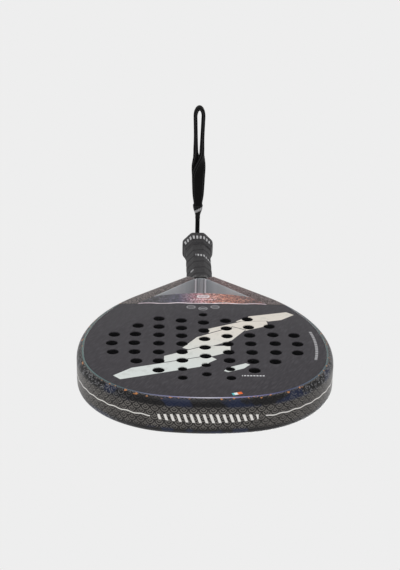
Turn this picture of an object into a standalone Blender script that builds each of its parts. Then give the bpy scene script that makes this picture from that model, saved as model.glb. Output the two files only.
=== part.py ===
"""Padel racket with its wrist strap, as an assembly of separate pieces.

Metres. The racket lies level: its long axis is Y, with the tip towards -Y and the butt towards +Y,
and its faces look along -Z (front) and +Z (back). The origin is where the hand holds the grip.
Along the racket, a distance from the tip is turned into Y by y_at().
"""
import math

import bmesh
import bpy
from mathutils import Vector

# Overall sizes
RACKET_LENGTH = 0.455
HEAD_WIDTH = 0.260
THICKNESS = 0.038
HAND_TO_BUTT = 0.070        # from the hand point, the origin, to the butt's end

GAP = 0.0003                # clearance between pieces that touch
ON_AXIS = 0.0005            # a plan point this near the racket's axis is on it

# Head outline, half of it, from the tip: arcs of (radius, angle), then the straight arm
HEAD_ARCS = ((0.260, 9.0), (0.1045, 72.5), (0.192, 53.0))
ARC_STEP = 6.5              # degrees of arc to one facet
ARM_FACETS = 3

# Frame tube: its section in the head, in the arms and in the handle
TUBE_WIDTH_HEAD = 0.0130
TUBE_WIDTH_ARM_WIDE = 0.0214
TUBE_WIDTH_ARM_NARROW = 0.0160
TUBE_WALL = 0.0016
SHOULDER_WIDTH = 0.0070
SHOULDER_HEIGHT = 0.0090
TUBE_INNER_EDGE = 0.0012
HOLLOW_SHOULDER = 0.9       # how much of the wall's height the hollow's rounding gives up
ARM_START = 0.190           # from the tip, where the tube starts to widen into the arm
ARM_WIDE_AT = 0.238
ARM_NARROW_AT = 0.3005      # and where it has narrowed again
APEX_HALF_WIDTH = 0.0072    # half the short wall that closes the throat opening

TURN_OUTER_X = 0.0132       # outer wall at the turn from the arm into the leg
TURN_OUTER_BACK = 0.0014    # and its distance past the arm's end
TURN_INNER_X = 0.0050       # inner wall at the turn
TURN_INNER_BACK = 0.0035    # and its distance past the apex
TURN_DROP = 0.0015
FILLER_INSET = 0.0008
FILLER_CLEARANCE = 0.00036
LEG_HALF_HEIGHT = 0.0088    # the tube's two legs inside the handle
LEG_INNER_X = 0.0003
LEG_OUTER_X = 0.0090
LEG_SHOULDER = 0.0050
LEG_ROOM_CORNER = 0.62      # corner cut of the room for the legs, as a share of their shoulder
LEG_ROOM_ROUNDING = 0.05
LEG_WALL = 0.0013
LEG_END_TO_BUTT = 0.030
LEGS_MEET_BACK = 0.0006     # past the arm's end, where the two legs come together, side by side
LEG_STRAIGHT_BACK = 0.0036  # past the arm's end, where the outer wall has become straight
LEG_SQUARE_BACK = 0.0120    # past the arm's end, where the leg's section is square to its length
HANDLE_BACK = 0.0042        # past the arm's end, where the handle core and the collar start

# Faces and foam core
SKIN_THICKNESS = 0.0010
FACE_END_MIDDLE = 0.2285    # from the tip, where the faces end and the bridge starts
FACE_END_CROWN = 0.0030     # the face's end runs this much back at its two corners
FACE_END_FACETS = 8

# Face holes: columns spaced evenly across the head, each (first hole, pitch, count, bow, small holes)
HOLE_EDGE_MARGIN = 0.036    # outermost column to the head's widest point
HOLE_RADIUS = 0.0060
SMALL_HOLE_RADIUS = 0.00475
HOLE_SIDES = 10
HOLE_COLUMNS = (
    (0.0558, 0.0204, 8, 0.0000, (0, 1, 7)),
    (0.0480, 0.0193, 8, 0.0000, (0, 1)),
    (0.0645, 0.0205, 7, 0.0000, ()),
    (0.0845, 0.0212, 5, 0.0030, ()),
    (0.1050, 0.0209, 3, 0.0018, ()),
)

# Bridge between the arms
BRIDGE_ARCH_MIDDLE = 0.2580
BRIDGE_ARCH_RISE = 0.0100
BRIDGE_FACETS = 10

# Handle, all octagonal: half sizes across X and Z
OCTAGON_CUT = 0.293         # corner cut as a share of the half width, near a regular octagon
OCTAGON_ROUNDING = 0.12
CORE_WALL = 0.0024          # of the handle core, where the tube's legs are nearest to its flats
CORE_END_TO_BUTT = 0.017
BASE_GRIP_THICKNESS = 0.0015
OVERGRIP_THICKNESS = 0.0008
OVERGRIP_RIDGE = 0.0004
WRAP_PITCH = 0.019
WRAP_RINGS = 34
FLARE = 0.0027              # how far the butt stands out past the grip layers on the cap
FLARE_START_TO_BUTT = 0.027
FLARE_FULL_TO_BUTT = 0.010
COLLAR_LENGTH = 0.0050
COLLAR_WALL = 0.0032
COLLAR_EDGE = 0.0008
BUTT_PLATE = 0.0030
BUTT_CAP_WALL = 0.0012      # where the cap is thinnest, at the flare's start
CAP_CLIMB = 0.0040          # length over which the grip layers rise from the core onto the cap
BUTT_CAP_LIP = 0.0010       # the cap's bare end past the grip wraps
BUTT_EDGE = 0.0005
CORD_HOLE_RADIUS = 0.0044
CORD_HOLE_CHAMFER = 0.0012
CORD_HOLE_CHAMFER_DEPTH = 0.0010
CORD_HOLE_TURN = -0.0850    # turn of the hole's first point, to lie opposite the octagon's first

# Wrist cord: one thin cord doubled, knotted inside the butt cap
CORD_RADIUS = 0.00125
CORD_SIDE = CORD_RADIUS + GAP / 2
KNOT_HALF = (0.0050, 0.0048, 0.0045)
KNOT_TO_PLATE = 0.0012
BEND_RADIUS = 0.0065
BEND_START = HAND_TO_BUTT + 0.0065
SWING_Y = BEND_START + BEND_RADIUS      # swing axis, along X through (SWING_Y, 0)
ROOT_BEND_END = 22.0        # degrees of bend in the fixed part of the cord
HANG_BEND_START = 66.0
STRAP_PIVOT_DROP = 0.0355   # strap's own swing axis, along Y, below the swing axis
PIVOT_CLEARANCE = 0.0020

# Strap joint, a moulded taper that the cord and the two strap ends go into
JOINT_TOP_DROP = STRAP_PIVOT_DROP + PIVOT_CLEARANCE
JOINT_LENGTH = 0.0133
JOINT_NARROW = (0.0032, 0.0024)
JOINT_WALL = 0.0010
JOINT_POCKET = 0.0030
JOINT_SIDE_ROOM = 0.0005    # from the pocket's wall to the strap's edges
JOINT_FACE_ROOM = 0.0002    # and to its faces, besides the gap between the two legs
JOINT_STRAIGHT = 0.0030     # length at each end that hardly tapers
JOINT_DRAFT = 0.0004
JOINT_CORNER_CUT = 0.25     # as a share of the shorter half side

# Strap: a padded band made into a loop; distances are drops below the swing axis
STRAP_THICKNESS = 0.0045
STRAP_EDGE_CUT = 0.55       # corner cut of the band's section, as a share of half its thickness
STRAP_LOOP_END = 0.1779
STRAP_ARCH_START = 0.1650
STRAP_TWIST_START = 0.0840
STRAP_TWIST_END = 0.1180
STRAP_CROTCH = 0.1134
STRAP_LOOP_GAP = 0.0054
STRAP_END_WIDTH = 0.0102
STRAP_WIDTHS = ((0.0530, STRAP_END_WIDTH), (0.0620, 0.0142), (0.0840, 0.0170), (0.1134, 0.0155),
                (0.1800, 0.0140))
STRAP_LEG_STATIONS = 16
STRAP_ARCH_STATIONS = 8

HALF_THICKNESS = THICKNESS / 2
SEAT_HALF = HALF_THICKNESS - SKIN_THICKNESS - GAP       # where the faces are bonded down
TUBE_HOLLOW_HALF = SEAT_HALF - TUBE_WALL
CORE_HALF = max(LEG_OUTER_X, LEG_HALF_HEIGHT) + GAP + CORE_WALL
BASE_GRIP_INNER = CORE_HALF + GAP
COLLAR_HALF = BASE_GRIP_INNER + COLLAR_WALL


def y_at(from_tip):
    return from_tip - RACKET_LENGTH + HAND_TO_BUTT


def smooth(value):
    value = min(1.0, max(0.0, value))
    return value * value * (3 - 2 * value)


def between(table, at):
    """Straight-line value from a table of (place, value) pairs."""
    for (place_a, value_a), (place_b, value_b) in zip(table, table[1:]):
        if at <= place_b:
            share = max(0.0, (at - place_a) / (place_b - place_a))
            return value_a + (value_b - value_a) * share
    return table[-1][1]


# ---------------------------------------------------------------- objects and materials

def clear_scene():
    for old in list(bpy.data.objects):
        bpy.data.objects.remove(old, do_unlink=True)


def make_material(name, colour, roughness, metallic=0.0):
    material = bpy.data.materials.new(name)
    material.use_nodes = True
    shader = material.node_tree.nodes["Principled BSDF"]
    shader.inputs["Base Color"].default_value = (*colour, 1.0)
    shader.inputs["Roughness"].default_value = roughness
    shader.inputs["Metallic"].default_value = metallic
    return material


def place_object(name, data, material, parent):
    obj = bpy.data.objects.new(name, data)
    bpy.context.scene.collection.objects.link(obj)
    data.materials.append(material)
    if parent is not None:
        obj.parent = parent
        obj.matrix_parent_inverse = parent.matrix_world.inverted()
    return obj


def mesh_object(name, build, material, parent=None, sharp=35.0):
    """An object whose mesh is filled by build(bm)."""
    bm = bmesh.new()
    build(bm)
    bmesh.ops.recalc_face_normals(bm, faces=bm.faces)
    mesh = bpy.data.meshes.new(name)
    bm.to_mesh(mesh)
    bm.free()
    mesh.shade_smooth()
    mesh.set_sharp_from_angle(angle=math.radians(sharp))
    return place_object(name, mesh, material, parent)


def loft_object(name, rings, material, parent=None, looped=False):
    """Bridge rings of points. Looped joins the last ring to the first; else both ends are capped."""
    def build(bm):
        loops = [[bm.verts.new(point) for point in ring] for ring in rings]
        pairs = list(zip(loops, loops[1:]))
        if looped:
            pairs.append((loops[-1], loops[0]))
        for near, far in pairs:
            for i in range(len(near)):
                j = (i + 1) % len(near)
                bm.faces.new((near[i], near[j], far[j], far[i]))
        if not looped:
            bm.faces.new(loops[0])
            bm.faces.new(loops[-1])
    return mesh_object(name, build, material, parent)


def plate_object(name, outline, z_low, z_high, material):
    """A flat plate: an outline of (x, from_tip) points, raised from z_low to z_high."""
    def build(bm):
        base = bm.faces.new([bm.verts.new((x, y_at(u), z_low)) for x, u in outline])
        raised = bmesh.ops.extrude_face_region(bm, geom=[base])["geom"]
        moved = [item for item in raised if isinstance(item, bmesh.types.BMVert)]
        bmesh.ops.translate(bm, verts=moved, vec=(0, 0, z_high - z_low))
    return mesh_object(name, build, material)


def cut(target, cutter):
    modifier = target.modifiers.new("cut_" + cutter.name, "BOOLEAN")
    modifier.operation = "DIFFERENCE"
    modifier.solver = "EXACT"
    modifier.object = cutter
    cutter.hide_render = True
    cutter.display_type = "WIRE"


def make_pivot(name, location, parent=None):
    pivot = bpy.data.objects.new(name, None)
    bpy.context.scene.collection.objects.link(pivot)
    pivot.location = location
    if parent is not None:
        pivot.parent = parent
        pivot.location = Vector(location) - parent.location
    return pivot


# ---------------------------------------------------------------- head outline

def half_outline():
    """Right half of the outer outline: (x, from_tip) points from the tip to the arm's straight start,
    with the direction of travel at each, before it is widened to HEAD_WIDTH."""
    x, u, heading = 0.0, 0.0, 0.0
    points = [(x, u, heading)]
    for radius, degrees in HEAD_ARCS:
        steps = max(2, math.ceil(degrees / ARC_STEP))
        step = math.radians(degrees) / steps
        centre_x = x - radius * math.sin(heading)
        centre_u = u + radius * math.cos(heading)
        for _ in range(steps):
            heading += step
            x = centre_x + radius * math.sin(heading)
            u = centre_u - radius * math.cos(heading)
            points.append((x, u, heading))
    return points


def tube_width(from_tip):
    return between(((ARM_START, TUBE_WIDTH_HEAD), (ARM_WIDE_AT, TUBE_WIDTH_ARM_WIDE),
                    (ARM_NARROW_AT, TUBE_WIDTH_ARM_NARROW)), from_tip)


def ring_stations():
    """Right half of the frame tube in plan: (outer point, inner point) pairs from the tip to the
    inner corner of the throat, where the arm's inner wall is APEX_HALF_WIDTH from the axis."""
    raw = half_outline()
    widen = HEAD_WIDTH / 2 / max(x for x, _, _ in raw)
    stations = []
    for x, u, heading in raw:
        along = Vector((math.cos(heading) * widen, math.sin(heading))).normalized()
        outward = Vector((along.y, -along.x))
        outer = Vector((x * widen, u))
        stations.append((outer, outer - outward * tube_width(u)))
    start, along, outward = outer, along, outward
    reach = (start.x - outward.x * TUBE_WIDTH_ARM_NARROW - APEX_HALF_WIDTH) / -along.x
    for i in range(1, ARM_FACETS + 1):
        outer = start + along * reach * i / ARM_FACETS
        share = smooth(i / ARM_FACETS)
        width = tube_width(start.y) * (1 - share) + TUBE_WIDTH_ARM_NARROW * share
        stations.append((outer, outer - outward * width))
    return stations


STATIONS = ring_stations()
ARM_END = STATIONS[-1][0].y             # from the tip, where the arm's outer wall ends
APEX = STATIONS[-1][1].y                # from the tip, the throat opening's narrow end
HANDLE_START = ARM_END + HANDLE_BACK
GRIP_START = HANDLE_START + COLLAR_LENGTH + GAP
LEGS_MEET = ARM_END + LEGS_MEET_BACK


def inset_line(inset):
    """Right half of the outline, moved in by inset, from the tip to the end of the arm."""
    line = []
    for outer, inner in STATIONS:
        line.append(outer + (inner - outer).normalized() * inset)
    return line


def inner_line(inset):
    """The tube's inner wall, moved in by inset."""
    return [inner + (inner - outer).normalized() * inset for outer, inner in STATIONS]


def trimmed(line, low, high):
    """The part of a line between two distances from the tip, with its ends put exactly there."""
    def point_at(level):
        for a, b in zip(line, line[1:]):
            if a.y <= level <= b.y:
                return a.lerp(b, (level - a.y) / (b.y - a.y))
        return line[0]
    middle = [point for point in line if low < point.y < high]
    return [point_at(low)] + middle + [point_at(high)]


FACE_CORNER_X = trimmed(inset_line(SHOULDER_WIDTH), 0.0, FACE_END_MIDDLE - FACE_END_CROWN)[-1].x


def face_end(x):
    """The crowned line where the faces end and the bridge starts."""
    return FACE_END_MIDDLE - FACE_END_CROWN * (x / FACE_CORNER_X) ** 2


def face_end_corner(line, back_off=0.0):
    """Where a line down the side of the head meets the faces' end, by repeated trial."""
    level = FACE_END_MIDDLE
    for _ in range(6):
        level = face_end(trimmed(line, 0.0, level)[-1].x) - back_off
    return level


def head_plate(line, back_off):
    """Whole outline of a plate that fills a line across the head up to the faces' end."""
    right = [point for point in trimmed(line, 0.0, face_end_corner(line, back_off)) if point.x > ON_AXIS]
    corner = right[-1].x
    across = []
    for i in range(1, FACE_END_FACETS):
        x = corner * (1 - 2 * i / FACE_END_FACETS)
        across.append((x, face_end(x) - back_off))
    outline = [(0.0, line[0].y)] + [(point.x, point.y) for point in right] + across
    return outline + [(-point.x, point.y) for point in reversed(right)]


# ---------------------------------------------------------------- frame tube

def tube_section(width, half_height, shoulder, shoulder_height, edge):
    """Points (across, z) round a section: across runs from the outer wall, 0, to the inner wall."""
    upper = []
    for degrees in (0, 30, 60, 90):
        angle = math.radians(degrees)
        rise = half_height - shoulder_height + shoulder_height * math.sin(angle)
        upper.append((shoulder * (1 - math.cos(angle)), rise))
    upper += [(width - edge, half_height), (width, half_height - edge)]
    return upper + [(across, -z) for across, z in reversed(upper)]


def tube_ring(outer, inner, side, section, wall=0.0):
    """Place a section between an outer and an inner point of the plan, on the right or left side."""
    across = (inner - outer).normalized()
    ring = []
    for distance, z in section:
        point = outer + across * (distance + wall)
        ring.append((side * point.x, y_at(point.y), z))
    return ring


def frame_rings():
    """(outer ring, hollow ring) at each station of the right half, from the tip to the leg's end."""
    rings = []

    def add(outer, inner, half_height, shoulder, shoulder_height, wall, hollow_half):
        width = (inner - outer).length
        section = tube_section(width, half_height, shoulder, shoulder_height, TUBE_INNER_EDGE)
        hollow_shoulder = shoulder_height - (half_height - hollow_half) * HOLLOW_SHOULDER
        hollow = tube_section(width - 2 * wall, hollow_half, shoulder - wall, hollow_shoulder,
                              TUBE_INNER_EDGE / 2)
        rings.append((outer, inner, section, hollow, wall))

    for outer, inner in STATIONS:
        add(outer, inner, HALF_THICKNESS, SHOULDER_WIDTH, SHOULDER_HEIGHT, TUBE_WALL, TUBE_HOLLOW_HALF)
    turn_height = HALF_THICKNESS - TURN_DROP
    add(Vector((TURN_OUTER_X, ARM_END + TURN_OUTER_BACK)), Vector((TURN_INNER_X, APEX + TURN_INNER_BACK)),
        turn_height, SHOULDER_WIDTH, LEG_SHOULDER, TUBE_WALL, turn_height - TUBE_WALL)
    leg_end = RACKET_LENGTH - LEG_END_TO_BUTT
    square = ARM_END + LEG_SQUARE_BACK
    for outer, inner in ((ARM_END + LEG_STRAIGHT_BACK, LEGS_MEET), (square, square), (leg_end, leg_end)):
        add(Vector((LEG_OUTER_X, outer)), Vector((LEG_INNER_X, inner)),
            LEG_HALF_HEIGHT, LEG_SHOULDER, LEG_SHOULDER, LEG_WALL, LEG_HALF_HEIGHT - LEG_WALL)
    return rings


def make_frame_tube(material):
    half = frame_rings()
    skins, hollows = [], []
    for side, stations in ((-1, list(reversed(half))), (1, half[1:])):
        for outer, inner, section, hollow, wall in stations:
            skins.append(tube_ring(outer, inner, side, section))
            hollows.append(tube_ring(outer, inner, side, hollow, wall))
    return loft_object("frame_tube", skins + list(reversed(hollows)), material, looped=True)


# ---------------------------------------------------------------- core, faces, bridge, throat filler

def hole_places():
    """(x, from_tip, radius) of every hole through the faces and the core."""
    spacing = (HEAD_WIDTH / 2 - HOLE_EDGE_MARGIN) / (len(HOLE_COLUMNS) - 1)
    places = []
    for column, (first, pitch, count, bow, small) in enumerate(HOLE_COLUMNS):
        for row in range(count):
            off_middle = 2 * row / (count - 1) - 1
            x = column * spacing + bow * (0.5 - off_middle ** 2)
            radius = SMALL_HOLE_RADIUS if row in small else HOLE_RADIUS
            for side in ((1, -1) if column else (1,)):
                places.append((side * x, first + row * pitch, radius))
    return places


def make_hole_cutter(material):
    def build(bm):
        for x, from_tip, radius in hole_places():
            made = bmesh.ops.create_cone(bm, cap_ends=True, segments=HOLE_SIDES, radius1=radius,
                                         radius2=radius, depth=THICKNESS * 2)
            bmesh.ops.translate(bm, verts=made["verts"], vec=(x, y_at(from_tip), 0))
    return mesh_object("hole_cutter", build, material)


def make_faces(material, frame_tube, hole_cutter):
    """Front and back faces, let into the tube's shoulders, and the pockets that seat them."""
    outline = head_plate(inset_line(SHOULDER_WIDTH + GAP), GAP)
    pocket_outline = head_plate(inset_line(SHOULDER_WIDTH), 0.0)
    for name, side in (("face_front", -1), ("face_back", 1)):
        levels = sorted((side * (HALF_THICKNESS - SKIN_THICKNESS), side * HALF_THICKNESS))
        face = plate_object(name, outline, *levels, material)
        cut(face, hole_cutter)
        pocket_levels = sorted((side * SEAT_HALF, side * THICKNESS))
        pocket = plate_object(name + "_pocket", pocket_outline, *pocket_levels, material)
        cut(frame_tube, pocket)


def make_core(material, hole_cutter):
    outline = head_plate(inner_line(GAP), GAP)
    core = plate_object("foam_core", outline, -SEAT_HALF, SEAT_HALF, material)
    cut(core, hole_cutter)


def make_bridge(material):
    """Moulded bridge: its head side follows the faces' end, its throat side is a low arch."""
    wall_line = inner_line(GAP)
    right = trimmed(wall_line, face_end_corner(wall_line), BRIDGE_ARCH_MIDDLE - BRIDGE_ARCH_RISE)
    corner, foot = right[-1].x, right[0].x
    arch, base = [], []
    for i in range(1, BRIDGE_FACETS):
        share = 1 - 2 * i / BRIDGE_FACETS
        arch.append((corner * share, BRIDGE_ARCH_MIDDLE - BRIDGE_ARCH_RISE * share ** 2))
        base.append((-foot * share, face_end(foot * share)))
    outline = [(point.x, point.y) for point in right] + arch
    outline += [(-point.x, point.y) for point in reversed(right)] + base
    plate_object("throat_bridge", outline, -HALF_THICKNESS, HALF_THICKNESS, material)


def make_throat_filler(material):
    """The wedge between the two arms where they part, whose blunt end closes the throat opening."""
    high = HALF_THICKNESS - FILLER_INSET
    turn, tip = APEX + TURN_INNER_BACK, LEGS_MEET - 2 * FILLER_INSET
    reach = (tip - turn) / (LEGS_MEET - turn)
    tip_x = TURN_INNER_X + (LEG_INNER_X - TURN_INNER_X) * reach
    tip_high = high + (LEG_HALF_HEIGHT - high) * reach
    rings = []
    stations = ((APEX, APEX_HALF_WIDTH, high), (turn, TURN_INNER_X, high), (tip, tip_x, tip_high))
    for from_tip, x, z in stations:
        half_x = x - FILLER_CLEARANCE
        corners = ((half_x, -z), (half_x, z), (-half_x, z), (-half_x, -z))
        rings.append([(across, y_at(from_tip), up) for across, up in corners])
    loft_object("throat_filler", rings, material)


# ---------------------------------------------------------------- handle

def cut_box_ring(from_tip, half_x, half_z, corner, round_off, ridge=None):
    """Sixteen points round a box whose corners are cut off and softened."""
    flat_x, flat_z = half_x - corner, half_z - corner
    corners = [Vector(place) for place in (
        (half_x, -flat_z), (half_x, flat_z), (flat_x, half_z), (-flat_x, half_z),
        (-half_x, flat_z), (-half_x, -flat_z), (-flat_x, -half_z), (flat_x, -half_z))]
    ring = []
    for i, place in enumerate(corners):
        for neighbour in (corners[i - 1], corners[(i + 1) % 8]):
            point = place.lerp(neighbour, round_off)
            if ridge is not None:
                turn = math.atan2(point.y, point.x) / math.tau
                point *= 1 + ridge(from_tip, turn) / point.length
            ring.append((point.x, y_at(from_tip), point.y))
    return ring


def octagon_ring(from_tip, half, ridge=None):
    return cut_box_ring(from_tip, half, half, half * 2 * OCTAGON_CUT, OCTAGON_ROUNDING, ridge)


def leg_room_ring(from_tip):
    """Room for the tube's two legs."""
    corner = LEG_SHOULDER * LEG_ROOM_CORNER
    return cut_box_ring(from_tip, LEG_OUTER_X + GAP, LEG_HALF_HEIGHT + GAP, corner, LEG_ROOM_ROUNDING)


def make_handle_core(material):
    end = RACKET_LENGTH - CORE_END_TO_BUTT
    rings = [octagon_ring(HANDLE_START, CORE_HALF), octagon_ring(end, CORE_HALF),
             leg_room_ring(end), leg_room_ring(HANDLE_START)]
    loft_object("handle_core", rings, material, looped=True)


def make_collar(material):
    end = HANDLE_START + COLLAR_LENGTH
    start = HANDLE_START + COLLAR_EDGE
    rings = [octagon_ring(HANDLE_START, COLLAR_HALF - COLLAR_EDGE), octagon_ring(start, COLLAR_HALF),
             octagon_ring(end, COLLAR_HALF), octagon_ring(end, BASE_GRIP_INNER),
             octagon_ring(HANDLE_START, BASE_GRIP_INNER)]
    loft_object("grip_collar", rings, material, looped=True)


def flare_at(from_tip):
    start = RACKET_LENGTH - FLARE_START_TO_BUTT
    full = RACKET_LENGTH - FLARE_FULL_TO_BUTT
    return FLARE * smooth((from_tip - start) / (full - start))


def spaced(start, end, count):
    return [start + (end - start) * i / (count - 1) for i in range(count)]


def flare_places():
    """Stations down the flare, shared by every layer there so that the layers nest."""
    return spaced(RACKET_LENGTH - FLARE_START_TO_BUTT, RACKET_LENGTH - BUTT_CAP_LIP, 7)


def make_butt_cap(material):
    """A cup over the handle's end: flared outside, with a round cord hole in its end plate."""
    inside = CORE_HALF + GAP
    shell = inside + BUTT_CAP_WALL
    rings = [octagon_ring(at, shell + flare_at(at)) for at in flare_places()]
    rings.append(octagon_ring(RACKET_LENGTH, shell + FLARE - BUTT_EDGE))

    def hole_ring(from_tip, radius):
        return [(radius * math.cos(turn), y_at(from_tip), radius * math.sin(turn))
                for turn in (math.tau * (i / 16 + CORD_HOLE_TURN) for i in range(16))]

    plate_inside = RACKET_LENGTH - BUTT_PLATE
    rings.append(hole_ring(RACKET_LENGTH, CORD_HOLE_RADIUS + CORD_HOLE_CHAMFER))
    rings.append(hole_ring(RACKET_LENGTH - CORD_HOLE_CHAMFER_DEPTH, CORD_HOLE_RADIUS))
    rings.append(hole_ring(plate_inside, CORD_HOLE_RADIUS))
    rings.append(octagon_ring(plate_inside, inside))
    rings.append(octagon_ring(flare_places()[0], inside))
    loft_object("butt_cap", rings, material, looped=True)


def wrap_base(from_tip):
    """Where the base grip's inside lies: on the handle core, then on the butt cap's flare."""
    climb = (from_tip - flare_places()[0] + CAP_CLIMB) / CAP_CLIMB
    return BASE_GRIP_INNER + between(((0, 0), (1, BUTT_CAP_WALL + GAP)), climb) + flare_at(from_tip)


def wrap_places():
    """Stations of a grip layer where its slope changes, from the collar to the butt."""
    flare = flare_places()
    end = RACKET_LENGTH - BUTT_CAP_LIP - GAP
    return [GRIP_START, flare[0] - CAP_CLIMB, flare[0] - GAP] + flare[:-1] + [end]


def sleeve(name, inner_add, thickness, material, outer_places, ridge=None):
    """A grip layer that follows wrap_base."""
    outside = [octagon_ring(at, wrap_base(at) + inner_add + thickness, ridge=ridge) for at in outer_places]
    inside = [octagon_ring(at, wrap_base(at) + inner_add) for at in reversed(wrap_places())]
    loft_object(name, outside + inside, material, looped=True)


def wrap_ridge(from_tip, turn):
    """Height of the overlapped edge of a helical wrap: a ramp that steps down once a turn."""
    phase = (from_tip / WRAP_PITCH + turn) % 1.0
    return OVERGRIP_RIDGE * smooth(1 - abs(phase - 0.5) * 2) ** 2


def make_grips(base_material, wrap_material):
    sleeve("base_grip", 0.0, BASE_GRIP_THICKNESS, base_material, wrap_places())
    wound = spaced(GRIP_START, wrap_places()[-1], WRAP_RINGS)
    sleeve("overgrip", BASE_GRIP_THICKNESS + GAP, OVERGRIP_THICKNESS, wrap_material, wound, wrap_ridge)


# ---------------------------------------------------------------- wrist cord and strap

def bend_point(degrees):
    """A point of the cord's centreline on its bend: 0 leaves the butt, 90 hangs straight down."""
    angle = math.radians(degrees)
    return BEND_START + BEND_RADIUS * math.sin(angle), BEND_RADIUS * (math.cos(angle) - 1)


def cord_curve(name, route, material, parent=None):
    """A round cord along (x, y, z) points."""
    curve = bpy.data.curves.new(name, "CURVE")
    curve.dimensions = "3D"
    curve.bevel_depth = CORD_RADIUS
    curve.bevel_resolution = 2
    curve.use_fill_caps = True
    spline = curve.splines.new("POLY")
    spline.points.add(len(route) - 1)
    for point, place in zip(spline.points, route):
        point.co = (*place, 1.0)
    return place_object(name, curve, material, parent)


def make_cords(material, swing):
    plate_inside = HAND_TO_BUTT - BUTT_PLATE
    knot_end = plate_inside - KNOT_TO_PLATE
    root = [(knot_end + GAP, 0.0), ((knot_end + BEND_START) / 2, 0.0), (BEND_START, 0.0)]
    root += [bend_point(ROOT_BEND_END * i / 3) for i in (1, 2, 3)]
    hang = [bend_point(HANG_BEND_START + (90 - HANG_BEND_START) * i / 3) for i in range(4)]
    bottom = -(STRAP_PIVOT_DROP - PIVOT_CLEARANCE)
    top = hang[-1][1]
    hang += [(SWING_Y, top + (bottom - top) * i / 5) for i in range(1, 6)]
    for side, word in ((-1, "left"), (1, "right")):
        x = side * CORD_SIDE
        cord_curve("cord_root_" + word, [(x, y, z) for y, z in root], material)
        cord_curve("wrist_cord_" + word, [(x, y, z) for y, z in hang], material, swing)

    def knot(bm):
        made = bmesh.ops.create_icosphere(bm, subdivisions=2, radius=1.0)
        bmesh.ops.scale(bm, verts=made["verts"], vec=KNOT_HALF)
        bmesh.ops.translate(bm, verts=made["verts"], vec=(0, knot_end - KNOT_HALF[1], 0))
    mesh_object("cord_knot", knot, material, sharp=60)


def rounded_box_ring(drop, half_x, half_y):
    """Eight points round a box with cut corners, at a drop below the swing axis."""
    cut_off = JOINT_CORNER_CUT * min(half_x, half_y)
    ring = []
    for sx, sy in ((1, -1), (1, 1), (-1, 1), (-1, -1)):
        pair = [(sx * half_x, sy * (half_y - cut_off)), (sx * (half_x - cut_off), sy * half_y)]
        if sx * sy < 0:
            pair.reverse()
        ring += [(x, SWING_Y + y, -drop) for x, y in pair]
    return ring


def make_strap_joint(material, strap_pivot):
    wide = JOINT_TOP_DROP + JOINT_LENGTH
    pocket = (STRAP_END_WIDTH / 2 + JOINT_SIDE_ROOM, STRAP_THICKNESS + GAP + JOINT_FACE_ROOM)
    outside = [half + JOINT_WALL for half in pocket]
    drafted = [half + JOINT_DRAFT for half in JOINT_NARROW]
    rings = [rounded_box_ring(JOINT_TOP_DROP, *JOINT_NARROW),
             rounded_box_ring(JOINT_TOP_DROP + JOINT_STRAIGHT, *drafted),
             rounded_box_ring(wide - JOINT_STRAIGHT, *outside), rounded_box_ring(wide, *outside),
             rounded_box_ring(wide, *pocket), rounded_box_ring(wide - JOINT_POCKET, *pocket)]
    loft_object("strap_joint", rings, material, strap_pivot)


def strap_gap(drop):
    """Clear space between the loop's two legs."""
    opened = smooth((drop - STRAP_CROTCH) / (STRAP_ARCH_START - STRAP_CROTCH))
    return 2 * GAP + (STRAP_LOOP_GAP - 2 * GAP) * opened


def strap_station(offset, drop, width, twist, tilt):
    """Ring of the band's section. offset is the centreline's distance from the loop's axis, twist turns
    the loop about that axis, and tilt is the band's lean in the loop's own plane."""
    half_w, half_t = width / 2, STRAP_THICKNESS / 2
    bevel = half_t * STRAP_EDGE_CUT
    profile = [(half_w - bevel, half_t), (half_w, half_t - bevel), (half_w, bevel - half_t),
               (half_w - bevel, -half_t)]
    profile += [(-w, -t) for w, t in profile]
    out = Vector((-math.sin(twist), -math.cos(twist), 0))
    across = Vector((math.cos(twist), -math.sin(twist), 0))
    outward = out * math.cos(tilt) + Vector((0, 0, -1)) * math.sin(tilt)
    centre = Vector((0, SWING_Y, -drop)) + out * offset
    return [centre + across * w + outward * t for w, t in profile]


def make_strap(material, strap_pivot):
    """The band from one end in the joint, down one leg, round the arch and back up the other."""
    start = JOINT_TOP_DROP + JOINT_LENGTH - JOINT_POCKET + GAP
    half_t = STRAP_THICKNESS / 2
    leg = []
    for i in range(STRAP_LEG_STATIONS):
        drop = start + (STRAP_ARCH_START - start) * i / (STRAP_LEG_STATIONS - 1)
        twist = smooth((drop - STRAP_TWIST_START) / (STRAP_TWIST_END - STRAP_TWIST_START)) * math.pi / 2
        leg.append((half_t + strap_gap(drop) / 2, drop, between(STRAP_WIDTHS, drop), twist, 0.0))
    side = leg[-1][0]
    height = STRAP_LOOP_END - half_t - STRAP_ARCH_START
    arch = []
    for i in range(1, STRAP_ARCH_STATIONS):
        angle = math.pi * i / STRAP_ARCH_STATIONS
        drop = STRAP_ARCH_START + height * math.sin(angle)
        tilt = math.atan2(side * math.sin(angle), height * math.cos(angle))
        arch.append((side * math.cos(angle), drop, between(STRAP_WIDTHS, drop), math.pi / 2, tilt))
    back = [(-offset, drop, width, twist, math.pi) for offset, drop, width, twist, _ in reversed(leg)]
    rings = [strap_station(*station) for station in leg + arch + back]
    loft_object("wrist_strap", rings, material, strap_pivot)


# ---------------------------------------------------------------- the racket

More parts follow.
